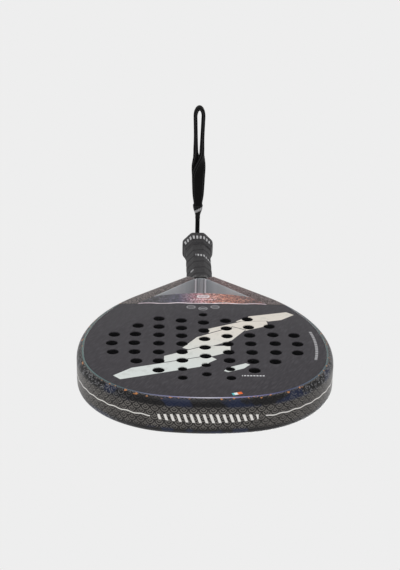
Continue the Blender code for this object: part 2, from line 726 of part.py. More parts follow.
def build_racket():
    clear_scene()
    carbon = make_material("frame_carbon", (0.16, 0.15, 0.15), 0.28)
    skin = make_material("face_laminate", (0.075, 0.068, 0.080), 0.42)
    foam = make_material("eva_foam", (0.05, 0.05, 0.05), 0.85)
    bridge = make_material("bridge_gloss", (0.30, 0.12, 0.20), 0.30)
    silver = make_material("throat_silver", (0.33, 0.34, 0.36), 0.30)
    handle_foam = make_material("handle_foam", (0.55, 0.50, 0.38), 0.80)
    plastic = make_material("cap_plastic", (0.045, 0.045, 0.048), 0.40)
    grip = make_material("base_grip_rubber", (0.06, 0.06, 0.06), 0.70)
    wrap = make_material("overgrip_charcoal", (0.065, 0.065, 0.068), 0.75)
    collar = make_material("collar_rubber", (0.03, 0.03, 0.033), 0.35)
    cord = make_material("cord_black", (0.012, 0.012, 0.013), 0.80)
    strap = make_material("strap_black", (0.015, 0.014, 0.016), 0.85)
    joint = make_material("joint_rubber", (0.02, 0.02, 0.021), 0.50)

    swing = make_pivot("cord_swing_pivot", (0, SWING_Y, 0))
    strap_pivot = make_pivot("strap_swing_pivot", (0, SWING_Y, -STRAP_PIVOT_DROP), swing)
    bpy.context.view_layer.update()

    frame_tube = make_frame_tube(carbon)
    hole_cutter = make_hole_cutter(foam)
    make_faces(skin, frame_tube, hole_cutter)
    make_core(foam, hole_cutter)
    make_bridge(bridge)
    make_throat_filler(silver)
    make_handle_core(handle_foam)
    make_collar(collar)
    make_butt_cap(plastic)
    make_grips(grip, wrap)
    make_cords(cord, swing)
    make_strap_joint(joint, strap_pivot)
    make_strap(strap, strap_pivot)


build_racket()
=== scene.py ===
"""Looks of a padel racket with its wrist strap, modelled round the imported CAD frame.

Metres, in the CAD's own frame: the racket's long axis is Y, with the tip towards -Y and the butt
towards +Y. The front face looks along -Z, and the wrist strap hangs along -Z.
"""
import math
from contextlib import contextmanager

import bpy
from mathutils import Matrix, Vector


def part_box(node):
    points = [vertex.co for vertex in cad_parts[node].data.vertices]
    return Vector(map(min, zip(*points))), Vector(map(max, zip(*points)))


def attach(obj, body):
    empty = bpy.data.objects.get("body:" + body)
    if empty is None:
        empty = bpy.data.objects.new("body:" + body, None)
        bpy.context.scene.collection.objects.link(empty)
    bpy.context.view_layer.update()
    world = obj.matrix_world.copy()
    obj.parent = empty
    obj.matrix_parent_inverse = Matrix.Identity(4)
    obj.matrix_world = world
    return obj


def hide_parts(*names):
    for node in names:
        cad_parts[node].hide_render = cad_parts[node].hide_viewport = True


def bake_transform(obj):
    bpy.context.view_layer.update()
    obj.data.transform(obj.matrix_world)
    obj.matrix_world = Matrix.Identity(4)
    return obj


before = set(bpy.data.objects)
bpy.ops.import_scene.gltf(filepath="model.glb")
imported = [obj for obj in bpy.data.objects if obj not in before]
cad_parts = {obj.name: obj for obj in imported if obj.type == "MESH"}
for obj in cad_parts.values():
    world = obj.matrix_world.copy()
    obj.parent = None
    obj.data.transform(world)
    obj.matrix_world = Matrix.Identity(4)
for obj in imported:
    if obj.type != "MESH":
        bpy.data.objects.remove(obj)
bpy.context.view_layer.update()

FRAME_LOW, FRAME_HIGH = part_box("frame_tube")
BUTT_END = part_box("butt_cap")[1].y
TIP = FRAME_LOW.y
LENGTH = BUTT_END - TIP
HALF_WIDTH = FRAME_HIGH.x
HALF_THICKNESS = FRAME_HIGH.z
GAP = 0.0003
CLOSE = 1e-5

# Head outline, half of it, from the tip: arcs of (radius, angle), then the straight arm
HEAD_ARCS = ((0.260, 9.0), (0.1045, 72.5), (0.192, 53.0))
ARC_STEP = 1.6
ARM_STEPS = 16
TUBE_WIDTHS = ((0.190, 0.0130), (0.238, 0.0214), (0.3005, 0.0160))     # (from the tip, width)
ARM_NARROW = TUBE_WIDTHS[-1][1]
TUBE_WALL = 0.0016
TUBE_EDGE = 0.0012
SHOULDER_WIDTH = 0.0070
SHOULDER_HEIGHT = 0.0090
APEX_HALF_WIDTH = 0.0072
LEG_HALF_HEIGHT = 0.0088
LEG_INNER_X = 0.0003
LEG_OUTER_X = 0.0090
LEG_SHOULDER = 0.0050
LEG_WALL = 0.0013
LEG_END_TO_BUTT = 0.030

# Where the arms turn into the legs: BACK is a distance behind the arms' end, or behind the apex
TURN_OUTER_X = 0.0132
TURN_OUTER_BACK = 0.0014
TURN_INNER_X = 0.0050
TURN_INNER_BACK = 0.0035
TURN_DROP = 0.0015
LEGS_MEET_BACK = 0.0006
LEG_STRAIGHT_BACK = 0.0036
LEG_SQUARE_BACK = 0.0120
HANDLE_BACK = 0.0042

SKIN_THICKNESS = 0.0010
SEAT_HALF = HALF_THICKNESS - SKIN_THICKNESS - GAP
FACE_END_MIDDLE = 0.2285
FACE_END_CROWN = 0.0030
FACE_END_STEPS = 40

HOLE_EDGE_MARGIN = 0.036
HOLE_RADIUS = 0.0060
SMALL_HOLE_RADIUS = 0.00475
HOLE_SIDES = 40
HOLE_CHAMFER = 0.00035
DRILL_OVERSHOOT = 0.0015
# From the middle outwards: (first hole from the tip, pitch, count, bow, rows with small holes)
HOLE_COLUMNS = (
    (0.0558, 0.0204, 8, 0.0000, (0, 1, 7)),
    (0.0480, 0.0193, 8, 0.0000, (0, 1)),
    (0.0645, 0.0205, 7, 0.0000, ()),
    (0.0845, 0.0212, 5, 0.0030, ()),
    (0.1050, 0.0209, 3, 0.0018, ()),
)

BRIDGE_ARCH_MIDDLE = 0.2580
BRIDGE_ARCH_RISE = 0.0100
BRIDGE_STEPS = 40
BRIDGE_ROUND = 0.0012

FILLER_INSET = 0.0008
FILLER_CLEARANCE = 0.00036
FILLER_TIP_SHORT = 0.0016
FILLER_HOLLOW = 0.0016
FILLER_STEPS = 32
FILLER_ROUND = 0.0005
RIB_HEIGHT = 0.0006
RIB_SHARE = 0.42            # of the wedge's half width
RIB_SPREAD = 0.12

SWING_Y = 0.083
STRAP_PIVOT_DROP = 0.0355


def y_at(from_tip):
    return from_tip + TIP


def smooth(value):
    value = min(1.0, max(0.0, value))
    return value * value * (3 - 2 * value)


def between(table, at):
    """Straight-line value from a table of (place, value) pairs."""
    for (place_a, value_a), (place_b, value_b) in zip(table, table[1:]):
        if at <= place_b:
            share = max(0.0, (at - place_a) / (place_b - place_a))
            return value_a + (value_b - value_a) * share
    return table[-1][1]


def spaced(start, end, count):
    return [start + (end - start) * i / (count - 1) for i in range(count)]


# ---------------------------------------------------------------- camera, light and floor

CAMERA_PLACE = (0.0441, -1.446, -0.575)
CAMERA_PITCH, CAMERA_YAW, CAMERA_ROLL = (math.radians(turn) for turn in (22.49, 1.83, 1.15))
CAMERA_LENS = 81.05
SENSOR_WIDTH = 36

STUDIO_GREY = 0.855
LIT_PLACE = (0, -0.16, 0)
LIGHTS = (      # (name, place, diameter, watts)
    ("under_light", (0.10, -0.60, -0.80), 0.7, 2.2),
    ("top_light", (-0.5, 0.9, 1.2), 0.9, 8),
)
FLOOR_SIZE = 60
FLOOR_HEIGHT = -0.9


def make_camera():
    """The racket is seen from beyond its tip and from under its front face, with the strap on top."""
    ahead = Vector((math.sin(CAMERA_YAW) * math.cos(CAMERA_PITCH),
                    math.cos(CAMERA_YAW) * math.cos(CAMERA_PITCH), -math.sin(CAMERA_PITCH)))
    right = Vector((math.cos(CAMERA_YAW), -math.sin(CAMERA_YAW), 0))
    up = right.cross(ahead)
    rolled_right = right * math.cos(CAMERA_ROLL) + up * math.sin(CAMERA_ROLL)
    rolled_up = up * math.cos(CAMERA_ROLL) - right * math.sin(CAMERA_ROLL)
    turned_over = Matrix.Diagonal((-1, 1, -1))
    axes = [turned_over @ axis for axis in (rolled_right, rolled_up, -ahead)]
    data = bpy.data.cameras.new("camera")
    data.lens = CAMERA_LENS
    data.sensor_width = SENSOR_WIDTH
    data.clip_end = 50
    camera = bpy.data.objects.new("camera", data)
    camera.matrix_world = Matrix.Translation(CAMERA_PLACE) @ Matrix(axes).transposed().to_4x4()
    bpy.context.scene.collection.objects.link(camera)
    bpy.context.scene.camera = camera


def make_light(name, place, size, power):
    data = bpy.data.lights.new(name, "AREA")
    data.shape = "DISK"
    data.size = size
    data.energy = power
    light = bpy.data.objects.new(name, data)
    light.location = place
    light.rotation_euler = (Vector(LIT_PLACE) - Vector(place)).to_track_quat("-Z", "Y").to_euler()
    bpy.context.scene.collection.objects.link(light)


def make_studio():
    world = bpy.data.worlds.new("studio")
    world.use_nodes = True
    background = world.node_tree.nodes["Background"]
    background.inputs["Color"].default_value = (STUDIO_GREY, STUDIO_GREY, STUDIO_GREY, 1)
    background.inputs["Strength"].default_value = 1.0
    bpy.context.scene.world = world
    bpy.context.scene.view_settings.view_transform = "Standard"
    for light in LIGHTS:
        make_light(*light)


# ---------------------------------------------------------------- modelling helpers

def deselect_all():
    bpy.ops.object.select_all(action="DESELECT")


def named(name):
    """Name the primitive that was just added."""
    obj = bpy.context.active_object
    obj.name = obj.data.name = name
    return obj


def activate(obj):
    deselect_all()
    obj.select_set(True)
    bpy.context.view_layer.objects.active = obj


@contextmanager
def editing(obj, kind="FACE"):
    activate(obj)
    bpy.ops.object.mode_set(mode="EDIT")
    bpy.ops.mesh.select_mode(type=kind)
    yield
    bpy.ops.object.mode_set(mode="OBJECT")


def choose(obj, kind, test):
    """Select the edges or faces that pass a test, and nothing else."""
    with editing(obj, kind):
        bpy.ops.mesh.select_all(action="DESELECT")
    points = obj.data.vertices
    for item in (obj.data.edges if kind == "EDGE" else obj.data.polygons):
        item.select = bool(test([points[i].co for i in item.vertices]))


def apply_modifier(obj, kind, **settings):
    modifier = obj.modifiers.new("step", kind)
    for key, value in settings.items():
        setattr(modifier, key, value)
    activate(obj)
    bpy.ops.object.modifier_apply(modifier=modifier.name)


def face_outwards(obj):
    with editing(obj):
        bpy.ops.mesh.select_all(action="SELECT")
        bpy.ops.mesh.normals_make_consistent(inside=False)


def shade(obj, degrees=35.0):
    activate(obj)
    bpy.ops.object.shade_smooth_by_angle(angle=math.radians(degrees))


def drop_maps(obj):
    while obj.data.uv_layers:
        obj.data.uv_layers.remove(obj.data.uv_layers[0])


def tube(name, rings, closed=False, across=None, along=None, tag=None):
    """A tube through rings of points, closed into a loop or capped at both ends. A grid's points go to
    the rings, the edges that meet are merged and the ends are filled.
    across(ring, point) and along(ring) give a surface map; tag is (name, value(ring, point))."""
    sides, count = len(rings[0]), len(rings)
    rows = count + 1 if closed else count
    deselect_all()
    bpy.ops.mesh.primitive_grid_add(x_subdivisions=sides, y_subdivisions=rows - 1, size=1)
    obj = named(name)
    places = [divmod(i, sides + 1) for i in range(rows * (sides + 1))]
    for vertex, (ring, point) in zip(obj.data.vertices, places):
        vertex.co = rings[ring % count][point % sides]
    drop_maps(obj)
    if along:
        layer = obj.data.uv_layers.new(name="surface")
        for loop in obj.data.loops:
            ring, point = places[loop.vertex_index]
            layer.data[loop.index].uv = (across(ring % count, point), along(ring % count))
    if tag:
        values = obj.data.attributes.new(tag[0], "FLOAT", "POINT")
        values.data.foreach_set("value", [tag[1](ring % count, point % sides) for ring, point in places])
    with editing(obj, "VERT"):
        bpy.ops.mesh.select_all(action="SELECT")
        bpy.ops.mesh.remove_doubles(threshold=0.000001)
        if not closed:
            bpy.ops.mesh.fill_holes(sides=0)
    face_outwards(obj)
    return obj


def plate(name, outline, low, high):
    """A flat plate: a filled circle's points go to an outline of (x, from_tip), and it is extruded."""
    deselect_all()
    bpy.ops.mesh.primitive_circle_add(vertices=len(outline), radius=1, fill_type="NGON")
    obj = named(name)
    for vertex, (x, from_tip) in zip(obj.data.vertices, outline):
        vertex.co = (x, y_at(from_tip), low)
    with editing(obj):
        bpy.ops.mesh.select_all(action="SELECT")
        bpy.ops.mesh.extrude_region_move(TRANSFORM_OT_translate={"value": (0, 0, high - low)})
    face_outwards(obj)
    drop_maps(obj)
    return obj


def bevel_where(obj, test, offset, segments):
    """Bevel the edges that pass a test."""
    choose(obj, "EDGE", test)
    with editing(obj, "EDGE"):
        bpy.ops.mesh.bevel(offset=offset, segments=segments, profile=0.5, clamp_overlap=True)


def at_height(ends, height):
    """Whether points all lie at a height above or below the racket's middle plane."""
    return all(abs(abs(point.z) - height) < CLOSE for point in ends)


def cut_away(obj, cutter):
    apply_modifier(obj, "BOOLEAN", operation="DIFFERENCE", solver="EXACT", object=cutter)


def throw_away(obj):
    bpy.data.objects.remove(obj, do_unlink=True)


def join(pieces, name):
    deselect_all()
    for piece in pieces:
        piece.select_set(True)
    bpy.context.view_layer.objects.active = pieces[0]
    bpy.ops.object.join()
    pieces[0].name = pieces[0].data.name = name
    return pieces[0]


def finish_piece(obj, finish, body, nodes):
    obj.data.materials.clear()
    obj.data.materials.append(finish)
    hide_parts(*nodes)
    if body:
        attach(obj, body)


# ---------------------------------------------------------------- shader maths

class Value:
    """A number that comes out of a node, on which Python's own operators work."""

    def __init__(self, finish, socket):
        self.finish, self.socket = finish, socket

    def math(self, operation, *values):
        sockets = dict(enumerate(values))
        return self.finish.node("Math", {"operation": operation}, sockets)

    def __add__(self, other):
        return self.math("ADD", self, other)

    def __sub__(self, other):
        return self.math("SUBTRACT", self, other)

    def __rsub__(self, other):
        return self.math("SUBTRACT", other, self)

    def __mul__(self, other):
        return self.math("MULTIPLY", self, other)

    def __truediv__(self, other):
        return self.math("DIVIDE", self, other)

    def __mod__(self, other):
        return self.math("FLOORED_MODULO", self, other)

    def __pow__(self, other):
        return self.math("POWER", self, other)

    def __abs__(self):
        return self.math("ABSOLUTE", self)

    __radd__ = __add__
    __rmul__ = __mul__

    def floor(self):
        return self.math("FLOOR", self)

    def sine(self):
        return self.math("SINE", self)

    def root(self):
        return self.math("SQRT", self)

    def larger(self, other):
        return self.math("MAXIMUM", self, other)

    def smaller(self, other):
        return self.math("MINIMUM", self, other)

    def above(self, edge, soft):
        """0 below the edge and 1 above it, over a soft width."""
        settings = {"interpolation_type": "SMOOTHSTEP"}
        sockets = {"Value": self, "From Min": edge - soft / 2, "From Max": edge + soft / 2}
        return self.finish.node("MapRange", settings, sockets)

    def below(self, edge, soft):
        return 1 - self.above(edge, soft)

    def within(self, low, high, soft):
        return self.above(low, soft) * self.below(high, soft)

    def near(self, reach, soft):
        """1 where the number is no further from 0 than a reach."""
        return abs(self).below(reach, soft)

    def phase(self, period):
        """How far the number is through its period, from 0 to 1."""
        return self / period % 1.0


class Finish:
    """A material under construction. Constants go straight to the shader's own sockets."""

    def __init__(self, name, **constants):
        self.material = bpy.data.materials.new(name)
        self.material.use_nodes = True
        self.nodes = self.material.node_tree.nodes
        self.links = self.material.node_tree.links
        self.shader = self.nodes["Principled BSDF"]
        for key, value in constants.items():
            self.feed(self.shader.inputs[key.replace("_", " ")], value)

    def feed(self, socket, value):
        if isinstance(value, Value):
            self.links.new(value.socket, socket)
        elif isinstance(value, tuple) and len(value) == 3 and socket.type == "RGBA":
            socket.default_value = (*value, 1.0)
        else:
            socket.default_value = value

    def node(self, kind, settings=None, sockets=None, outputs=(0,)):
        made = self.nodes.new("ShaderNode" + kind)
        for key, value in (settings or {}).items():
            if key == "stops":
                while len(made.color_ramp.elements) < len(value):
                    made.color_ramp.elements.new(1.0)
                for element, (place, colour) in zip(made.color_ramp.elements, value):
                    element.position, element.color = place, (*colour, 1.0)
            else:
                setattr(made, key, value)
        for key, value in (sockets or {}).items():
            self.feed(made.inputs[key], value)
        values = [Value(self, made.outputs[output]) for output in outputs]
        return values[0] if len(values) == 1 else values

    def parts(self, vector):
        """(x, y, z) of a vector."""
        return self.node("SeparateXYZ", None, {0: vector}, (0, 1, 2))

    def object_place(self):
        """Position in the piece's own coordinates."""
        return self.node("TexCoord", outputs=("Object",))

    def surface_place(self):
        """(across, along) of the piece's surface map."""
        return self.parts(self.node("UVMap", {"uv_map": "surface"}))[:2]

    def tagged(self, name):
        """A number that the piece's points carry."""
        return self.node("Attribute", {"attribute_name": name}, outputs=("Fac",))

    def vector(self, x, y, z):
        return self.node("CombineXYZ", None, {0: x, 1: y, 2: z})

    def noise(self, vector, scale, detail=2.0, roughness=0.5):
        return self.node("TexNoise", None, {"Vector": vector, "Scale": scale, "Detail": detail,
                                            "Roughness": roughness})

    def specks(self, vector, scale):
        """A random number for each small cell."""
        cell = self.node("TexVoronoi", {"feature": "F1"}, {"Vector": vector, "Scale": scale}, ("Color",))
        return self.node("SeparateColor", None, {0: cell})

    def mix(self, share, first, second):
        """A colour between two colours."""
        return self.node("Mix", {"data_type": "RGBA"}, {0: share, 6: first, 7: second}, (2,))

    def ramp(self, value, stops):
        return self.node("ValToRGB", {"stops": stops}, {0: value})

    def set(self, socket, value):
        self.feed(self.shader.inputs[socket], value)

    def done(self, colour, roughness, height=None, depth=0.0):
        """Set what nearly every finish varies, and give back the material."""
        self.set("Base Color", colour)
        self.set("Roughness", roughness)
        if height:
            bump = self.node("Bump", None, {"Height": height, "Distance": depth, "Strength": 1.0})
            self.set("Normal", bump)
        return self.material


# ---------------------------------------------------------------- finishes

# Pale shards of the face graphic: (x, from the tip, length, width, turn in degrees, skew)
SHARDS = (
    (0.0400, 0.0700, 0.1080, 0.0200, -20.0, 0.9),
    (0.0080, 0.1010, 0.0780, 0.0240, -30.0, -0.7),
    (-0.0100, 0.1370, 0.0800, 0.0260, -34.0, 0.8),
    (-0.0360, 0.1660, 0.0700, 0.0220, -28.0, -0.9),
    (-0.0660, 0.1900, 0.0660, 0.0180, -16.0, 0.7),
    (-0.0300, 0.0700, 0.0300, 0.0090, -28.0, 0.8),
)
SHARD_GAP = -0.0013
SHARD_POINT = 1.3           # the slope of a shard's ends
BADGES = ((0.0125, 0.2186), (-0.0004, 0.2147), (-0.0136, 0.2191))      # (x, from the tip)
CHIP_PLACE = (-0.0275, 0.0150)
CHIP_HALF = 0.0050
CHIP_COLOURS = ((0.0, (0.75, 0.12, 0.03)), (0.42, (0.80, 0.20, 0.05)), (0.50, (0.85, 0.85, 0.85)),
                (0.75, (0.75, 0.85, 0.85)), (0.85, (0.10, 0.50, 0.55)))

SCALE_WIDTH = 0.0092
SCALE_HEIGHT = 0.0046
SCALE_RING = 0.0023
ARM_START = 0.2250
# Edge line round the face: teal and dark along the sides as its own colour, with a painted highlight in the
# pale middle where it runs round the tip
RIM_LINE_AND_HIGHLIGHT = ((0.0, (0.10, 0.16, 0.15)), (0.22, (0.05, 0.06, 0.16)), (0.40, (0.32, 0.30, 0.55)),
               (0.50, (0.70, 0.68, 0.78)), (0.62, (0.25, 0.24, 0.42)), (0.80, (0.06, 0.10, 0.12)),
               (1.0, (0.12, 0.20, 0.19)))

THROAT_WIDTH = 0.15         # the colour run of the arms and the bridge goes across this
ARM_TONES = ((0.0, (0.055, 0.036, 0.036)), (0.32, (0.115, 0.052, 0.050)), (0.50, (0.070, 0.045, 0.052)),
             (0.75, (0.070, 0.060, 0.056)), (1.0, (0.055, 0.050, 0.048)))
BRIDGE_TONES = ((0.0, (0.030, 0.014, 0.016)), (0.18, (0.10, 0.030, 0.028)), (0.33, (0.40, 0.11, 0.065)),
                (0.44, (0.52, 0.19, 0.15)), (0.53, (0.52, 0.20, 0.24)), (0.61, (0.15, 0.07, 0.12)),
                (0.68, (0.028, 0.028, 0.060)), (0.80, (0.020, 0.019, 0.024)), (1.0, (0.030, 0.028, 0.028)))
BRIDGE_BRIGHTS = ((0.0, (0.20, 0.10, 0.11)), (0.33, (0.80, 0.38, 0.26)), (0.5, (0.86, 0.60, 0.62)),
                  (0.66, (0.13, 0.12, 0.20)), (1.0, (0.15, 0.14, 0.14)))
LABEL_PLACE = (-0.0015, 0.2480)

PRINT_TURNS = (0.58, 0.92)
PRINT_BLOCKS = 27.0         # in one turn round the grip
STITCH_SHARE = 0.72         # of the strap's half width


def front_only(z):
    return z.below(0.0, 0.001)


def shard_cover(x, from_tip):
    """1 on the pale shards. Each one keeps a thin gap to those before it."""
    cover = -1.0
    for centre_x, centre_u, length, width, turn, skew in SHARDS:
        c, s = math.cos(math.radians(turn)), math.sin(math.radians(turn))
        off_x, off_u = x - centre_x, from_tip - centre_u
        across = off_u * c - off_x * s
        along = abs(off_x * c + off_u * s + across * skew)
        inside = (length / 2 - along - abs(across) * SHARD_POINT).smaller(width / 2 - abs(across))
        cover = inside.smaller(SHARD_GAP - cover).larger(cover)
    return cover.above(0.0, 0.0004)


def face_marks(x, from_tip):
    """Small pale marks: three round badges, a row of dashes, and a dashed strip along one side."""
    badges = 0.0
    for centre_x, centre_u in BADGES:
        off_x, off_u = x - centre_x, from_tip - centre_u
        away = (off_x * off_x + off_u * off_u * 1.15).root()
        bar = off_u.near(0.0006, 0.0004) * off_x.near(0.0030, 0.0004)
        badges = away.within(0.0040, 0.0049, 0.0004) * 0.55 + bar * 0.6 + badges
    dashes = x.phase(0.0030).above(0.35, 0.1) * x.within(-0.0560, -0.0340, 0.0004)
    dashes = dashes * from_tip.within(0.0515, 0.0535, 0.0005)
    off_middle = from_tip - 0.125
    strip_x = x + 0.1135 + off_middle * off_middle * -3.0
    strip = from_tip.phase(0.0042).above(0.3, 0.1) * from_tip.within(0.088, 0.156, 0.0004)
    strip = strip * strip_x.near(0.0014, 0.0004) * 0.6
    return (badges + dashes + strip).smaller(1.0)


def face_chip(f, x, from_tip):
    """(cover, colour) of the small tilted chip near the tip."""
    off_x, off_u = x - CHIP_PLACE[0], from_tip - CHIP_PLACE[1]
    along = off_x * 0.94 - off_u * 0.34
    across = off_u * 0.94 + off_x * 0.34
    cover = along.near(CHIP_HALF, 0.0004) * across.near(0.0022, 0.0004)
    return cover, f.ramp((along + CHIP_HALF) / (2 * CHIP_HALF), CHIP_COLOURS)


def face_finish():
    """Satin charcoal laminate with faint slanted threads and a broken band of pale angular shards."""
    f = Finish("face_laminate", Specular_IOR_Level=0.15)
    place = f.object_place()
    x, y, z = f.parts(place)
    from_tip, front = y - TIP, front_only(z)
    thread = f.noise(f.vector(x + y * 0.55, y * 0.12, 0.0), 900.0, 3.0)
    grain = f.noise(place, 1400.0)
    colour = f.mix(thread.above(0.55, 0.2), (0.038, 0.035, 0.040), (0.062, 0.058, 0.066))
    colour = f.mix(f.noise(place, 14.0).above(0.5, 0.5) * 0.35, colour, (0.050, 0.046, 0.052))

    shards = shard_cover(x, from_tip)
    marble = f.noise(place, 110.0, 4.0).above(0.60, 0.08)
    pale = f.mix(from_tip.above(0.120, 0.12), (0.66, 0.70, 0.68), (0.74, 0.69, 0.62))
    colour = f.mix(shards, colour, f.mix(marble * 0.30, pale, (0.47, 0.48, 0.45)))
    colour = f.mix(face_marks(x, from_tip) * front, colour, (0.66, 0.66, 0.68))
    chip, chip_colour = face_chip(f, x, from_tip)
    colour = f.mix(chip * front, colour, chip_colour)
    return f.done(colour, 0.50 + grain * 0.10 - shards * 0.08, grain * 0.4 + thread * 0.6, 0.00004)


def scale_arcs(f, place, around, along):
    """Fine scales: rings in the cells of a staggered grid."""
    row = (around / SCALE_HEIGHT).floor()
    cell_x = ((along / SCALE_WIDTH + row * 0.5) % 1.0 - 0.5) * SCALE_WIDTH
    cell_y = around.phase(SCALE_HEIGHT) * SCALE_HEIGHT
    radius = (cell_x * cell_x + cell_y * cell_y).root() + f.noise(place, 200.0) * 0.0008
    return radius.phase(SCALE_RING).within(0.20, 0.72, 0.2)


def arm_sparkle(f, place, x):
    spark = f.specks(place, 1500.0)
    tone = f.ramp(x / THROAT_WIDTH + 0.5, ARM_TONES)
    arm = f.mix(spark.above(0.72, 0.1) * 0.75, tone, (0.34, 0.28, 0.27))
    return f.mix(spark.below(0.30, 0.1) * 0.7, arm, (0.012, 0.010, 0.012))


def wall_lines(x, y, around, along):
    """Pale lines on the wall: a waving pinstripe, and a row of slanted bars at the tip."""
    wave = (along * (math.tau / 0.0150)).sine() * 0.00045
    line = (around + wave).near(0.00055, 0.0004) * abs(x).above(0.0545, 0.0006)
    line = line * y.below(y_at(0.215), 0.01)
    bars = (around * 0.35 + x).phase(0.0062).within(0.20, 0.62, 0.06)
    reach = 0.0046 - x * x * 0.9
    bars = bars * (reach - abs(around)).above(0.0, 0.0003) * x.near(0.0475, 0.0004)
    return (line + bars * y.below(y_at(0.1), 0.01)).smaller(1.0)


def inner_silver(f, x, y, z):
    streak = f.noise(f.vector(x, y, z * 0.05), 110.0)
    silver = f.mix(streak.above(0.5, 0.6), (0.31, 0.33, 0.350), (0.41, 0.43, 0.455))
    # Painted highlight: the silver walls are lighter towards the throat's outer corners
    return f.mix(abs(x).above(0.026, 0.040), silver, (0.58, 0.60, 0.62))


def frame_finish():
    """Glossy composite. The wall has a fine scale pattern and a pinstripe, the shoulder is dark, and the
    inner walls of the throat are silver."""
    f = Finish("frame_carbon", Coat_Roughness=0.12, Specular_IOR_Level=0.15)
    place = f.object_place()
    x, y, z = f.parts(place)
    around, along = f.surface_place()
    height = abs(around)
    in_arm = y.above(y_at(ARM_START), 0.012)

    arcs = scale_arcs(f, place, around, along)
    grain = f.noise(place, 1500.0)
    wall = f.mix(arcs, (0.005, 0.004, 0.004), (0.140, 0.130, 0.120))
    wall = f.mix(f.noise(place, 60.0, 3.0).above(0.5, 0.4) * 0.35, wall, (0.022, 0.020, 0.020))
    body = f.mix(in_arm * height.above(0.0120, 0.004), wall, arm_sparkle(f, place, x))
    arm_edge = height.within(0.0110, 0.0150, 0.002) * in_arm
    body = f.mix(arm_edge * 0.8, body, (0.008, 0.007, 0.008))

    navy = f.noise(place, 38.0).above(0.55, 0.08)
    shoulder = f.mix(navy, (0.005, 0.005, 0.006), (0.008, 0.014, 0.040))
    # Painted glints: the scale pattern shows as pale flecks on the dark shoulder, at the sides of the head
    # only
    fleck_glints = arcs * abs(x).above(0.085, 0.05) * f.specks(place, 420.0).above(0.45, 0.3)
    shoulder = f.mix(fleck_glints * 0.8, shoulder, (0.19, 0.19, 0.20))
    dark_band = height.within(0.0112, 0.0200, 0.004) * (1 - in_arm * 0.55)
    body = f.mix(dark_band * 0.92, body, shoulder)

    # Thin line at the face's edge: its pale middle at the tip is a painted highlight, the rest is the line's
    # own colour
    rim = height.within(0.0210, 0.0230, 0.0008) * (1 - in_arm)
    body = f.mix(rim * 0.8, body, f.ramp(x / (2 * HALF_WIDTH) + 0.5, RIM_LINE_AND_HIGHLIGHT))
    glint = f.specks(place, 500.0).above(0.93, 0.03) * height.within(0.0185, 0.0215, 0.001)
    body = f.mix(glint * 0.7, body, (0.60, 0.25, 0.08))
    body = f.mix(wall_lines(x, y, around, along), body, (0.78, 0.76, 0.73))

    inner = f.tagged("inner_wall").above(0.5, 0.3)
    body = f.mix(inner, body, inner_silver(f, x, y, z))
    f.set("Metallic", inner * 0.2)
    f.set("Coat Weight", 0.16 - dark_band * 0.10)
    return f.done(body, 0.30 + grain * 0.10 + arcs * 0.06, arcs * 0.35 + grain * 0.15, 0.00008)


def foam_finish():
    f = Finish("eva_foam", Specular_IOR_Level=0.2)
    pores = f.specks(f.object_place(), 1300.0)
    colour = f.mix(pores.above(0.5, 0.6), (0.004, 0.004, 0.005), (0.014, 0.014, 0.015))
    return f.done(colour, 0.80 + pores * 0.15, pores, 0.00015)


def bridge_finish():
    """Sparkle lacquer that runs from navy through pink to orange, with a pale edge line, a plain label
    and a row of dashes under it."""
    f = Finish("bridge_gloss", Coat_Roughness=0.15, Specular_IOR_Level=0.25)
    place = f.object_place()
    x, y, z = f.parts(place)
    from_tip, front = y - TIP, front_only(z)
    spark = f.specks(place, 820.0)
    share = x / THROAT_WIDTH + 0.5
    body = f.mix(spark.above(0.66, 0.1) * 0.75, f.ramp(share, BRIDGE_TONES), f.ramp(share, BRIDGE_BRIGHTS))
    body = f.mix(spark.below(0.36, 0.1) * 0.85, body, (0.008, 0.006, 0.009))
    ripple = (abs(x) * (math.tau / 0.034)).sine() * 0.0009
    edge = (from_tip - face_end(x) - 0.0011 + ripple).within(-0.0010, 0.0008, 0.0006)
    edge_tone = f.mix(abs(x).above(0.050, 0.05), (0.94, 0.84, 0.88), (0.52, 0.42, 0.47))
    body = f.mix(edge, body, edge_tone)

    label_x, label_u = abs(x - LABEL_PLACE[0]), abs(from_tip - LABEL_PLACE[1])
    corner = ((label_x - 0.0048).larger(0.0) ** 2 + (label_u - 0.0012).larger(0.0) ** 2).root()
    body = f.mix(corner.below(0.0022, 0.0004) * front, body, (0.80, 0.76, 0.78))
    slots = corner.below(0.0008, 0.0004) * x.phase(0.0016).above(0.3, 0.2) * front
    body = f.mix(slots * 0.8, body, (0.30, 0.12, 0.16))
    dashes = x.phase(0.0033).above(0.3, 0.2) * x.within(-0.015, 0.013, 0.001)
    dashes = dashes * (from_tip - 0.2395).near(0.0009, 0.0005) * front
    body = f.mix(dashes * 0.8, body, (0.78, 0.62, 0.68))
    f.set("Coat Weight", 0.08 + spark * 0.12)
    return f.done(body, 0.34 + spark * 0.14, spark, 0.00005)


def silver_finish():
    """Silver lacquer in fine streaks, with two pale painted highlights down the wall and a painted shade line
    beside each.
    """
    f = Finish("throat_silver", Coat_Roughness=0.1, Coat_Weight=0.4)
    x, y, z = f.parts(f.object_place())
    streak = f.noise(f.vector(x, y, z * 0.03), 300.0)
    # Painted highlight: a pale line down each side of the apex wall, and inside each a dark painted shade
    # line
    rib = (abs(x) - 0.0058).near(0.0011, 0.0010)
    groove_shade = (abs(x) - 0.0038).near(0.0007, 0.0010)
    base = f.mix(streak.above(0.5, 0.6), (0.25, 0.265, 0.285), (0.40, 0.42, 0.445))
    base = f.mix(rib * 0.8, base, (0.72, 0.72, 0.76))
    f.set("Metallic", rib * 0.2)
    return f.done(f.mix(groove_shade * 0.6, base, (0.07, 0.07, 0.08)), 0.24 + streak * 0.16, streak, 0.00006)


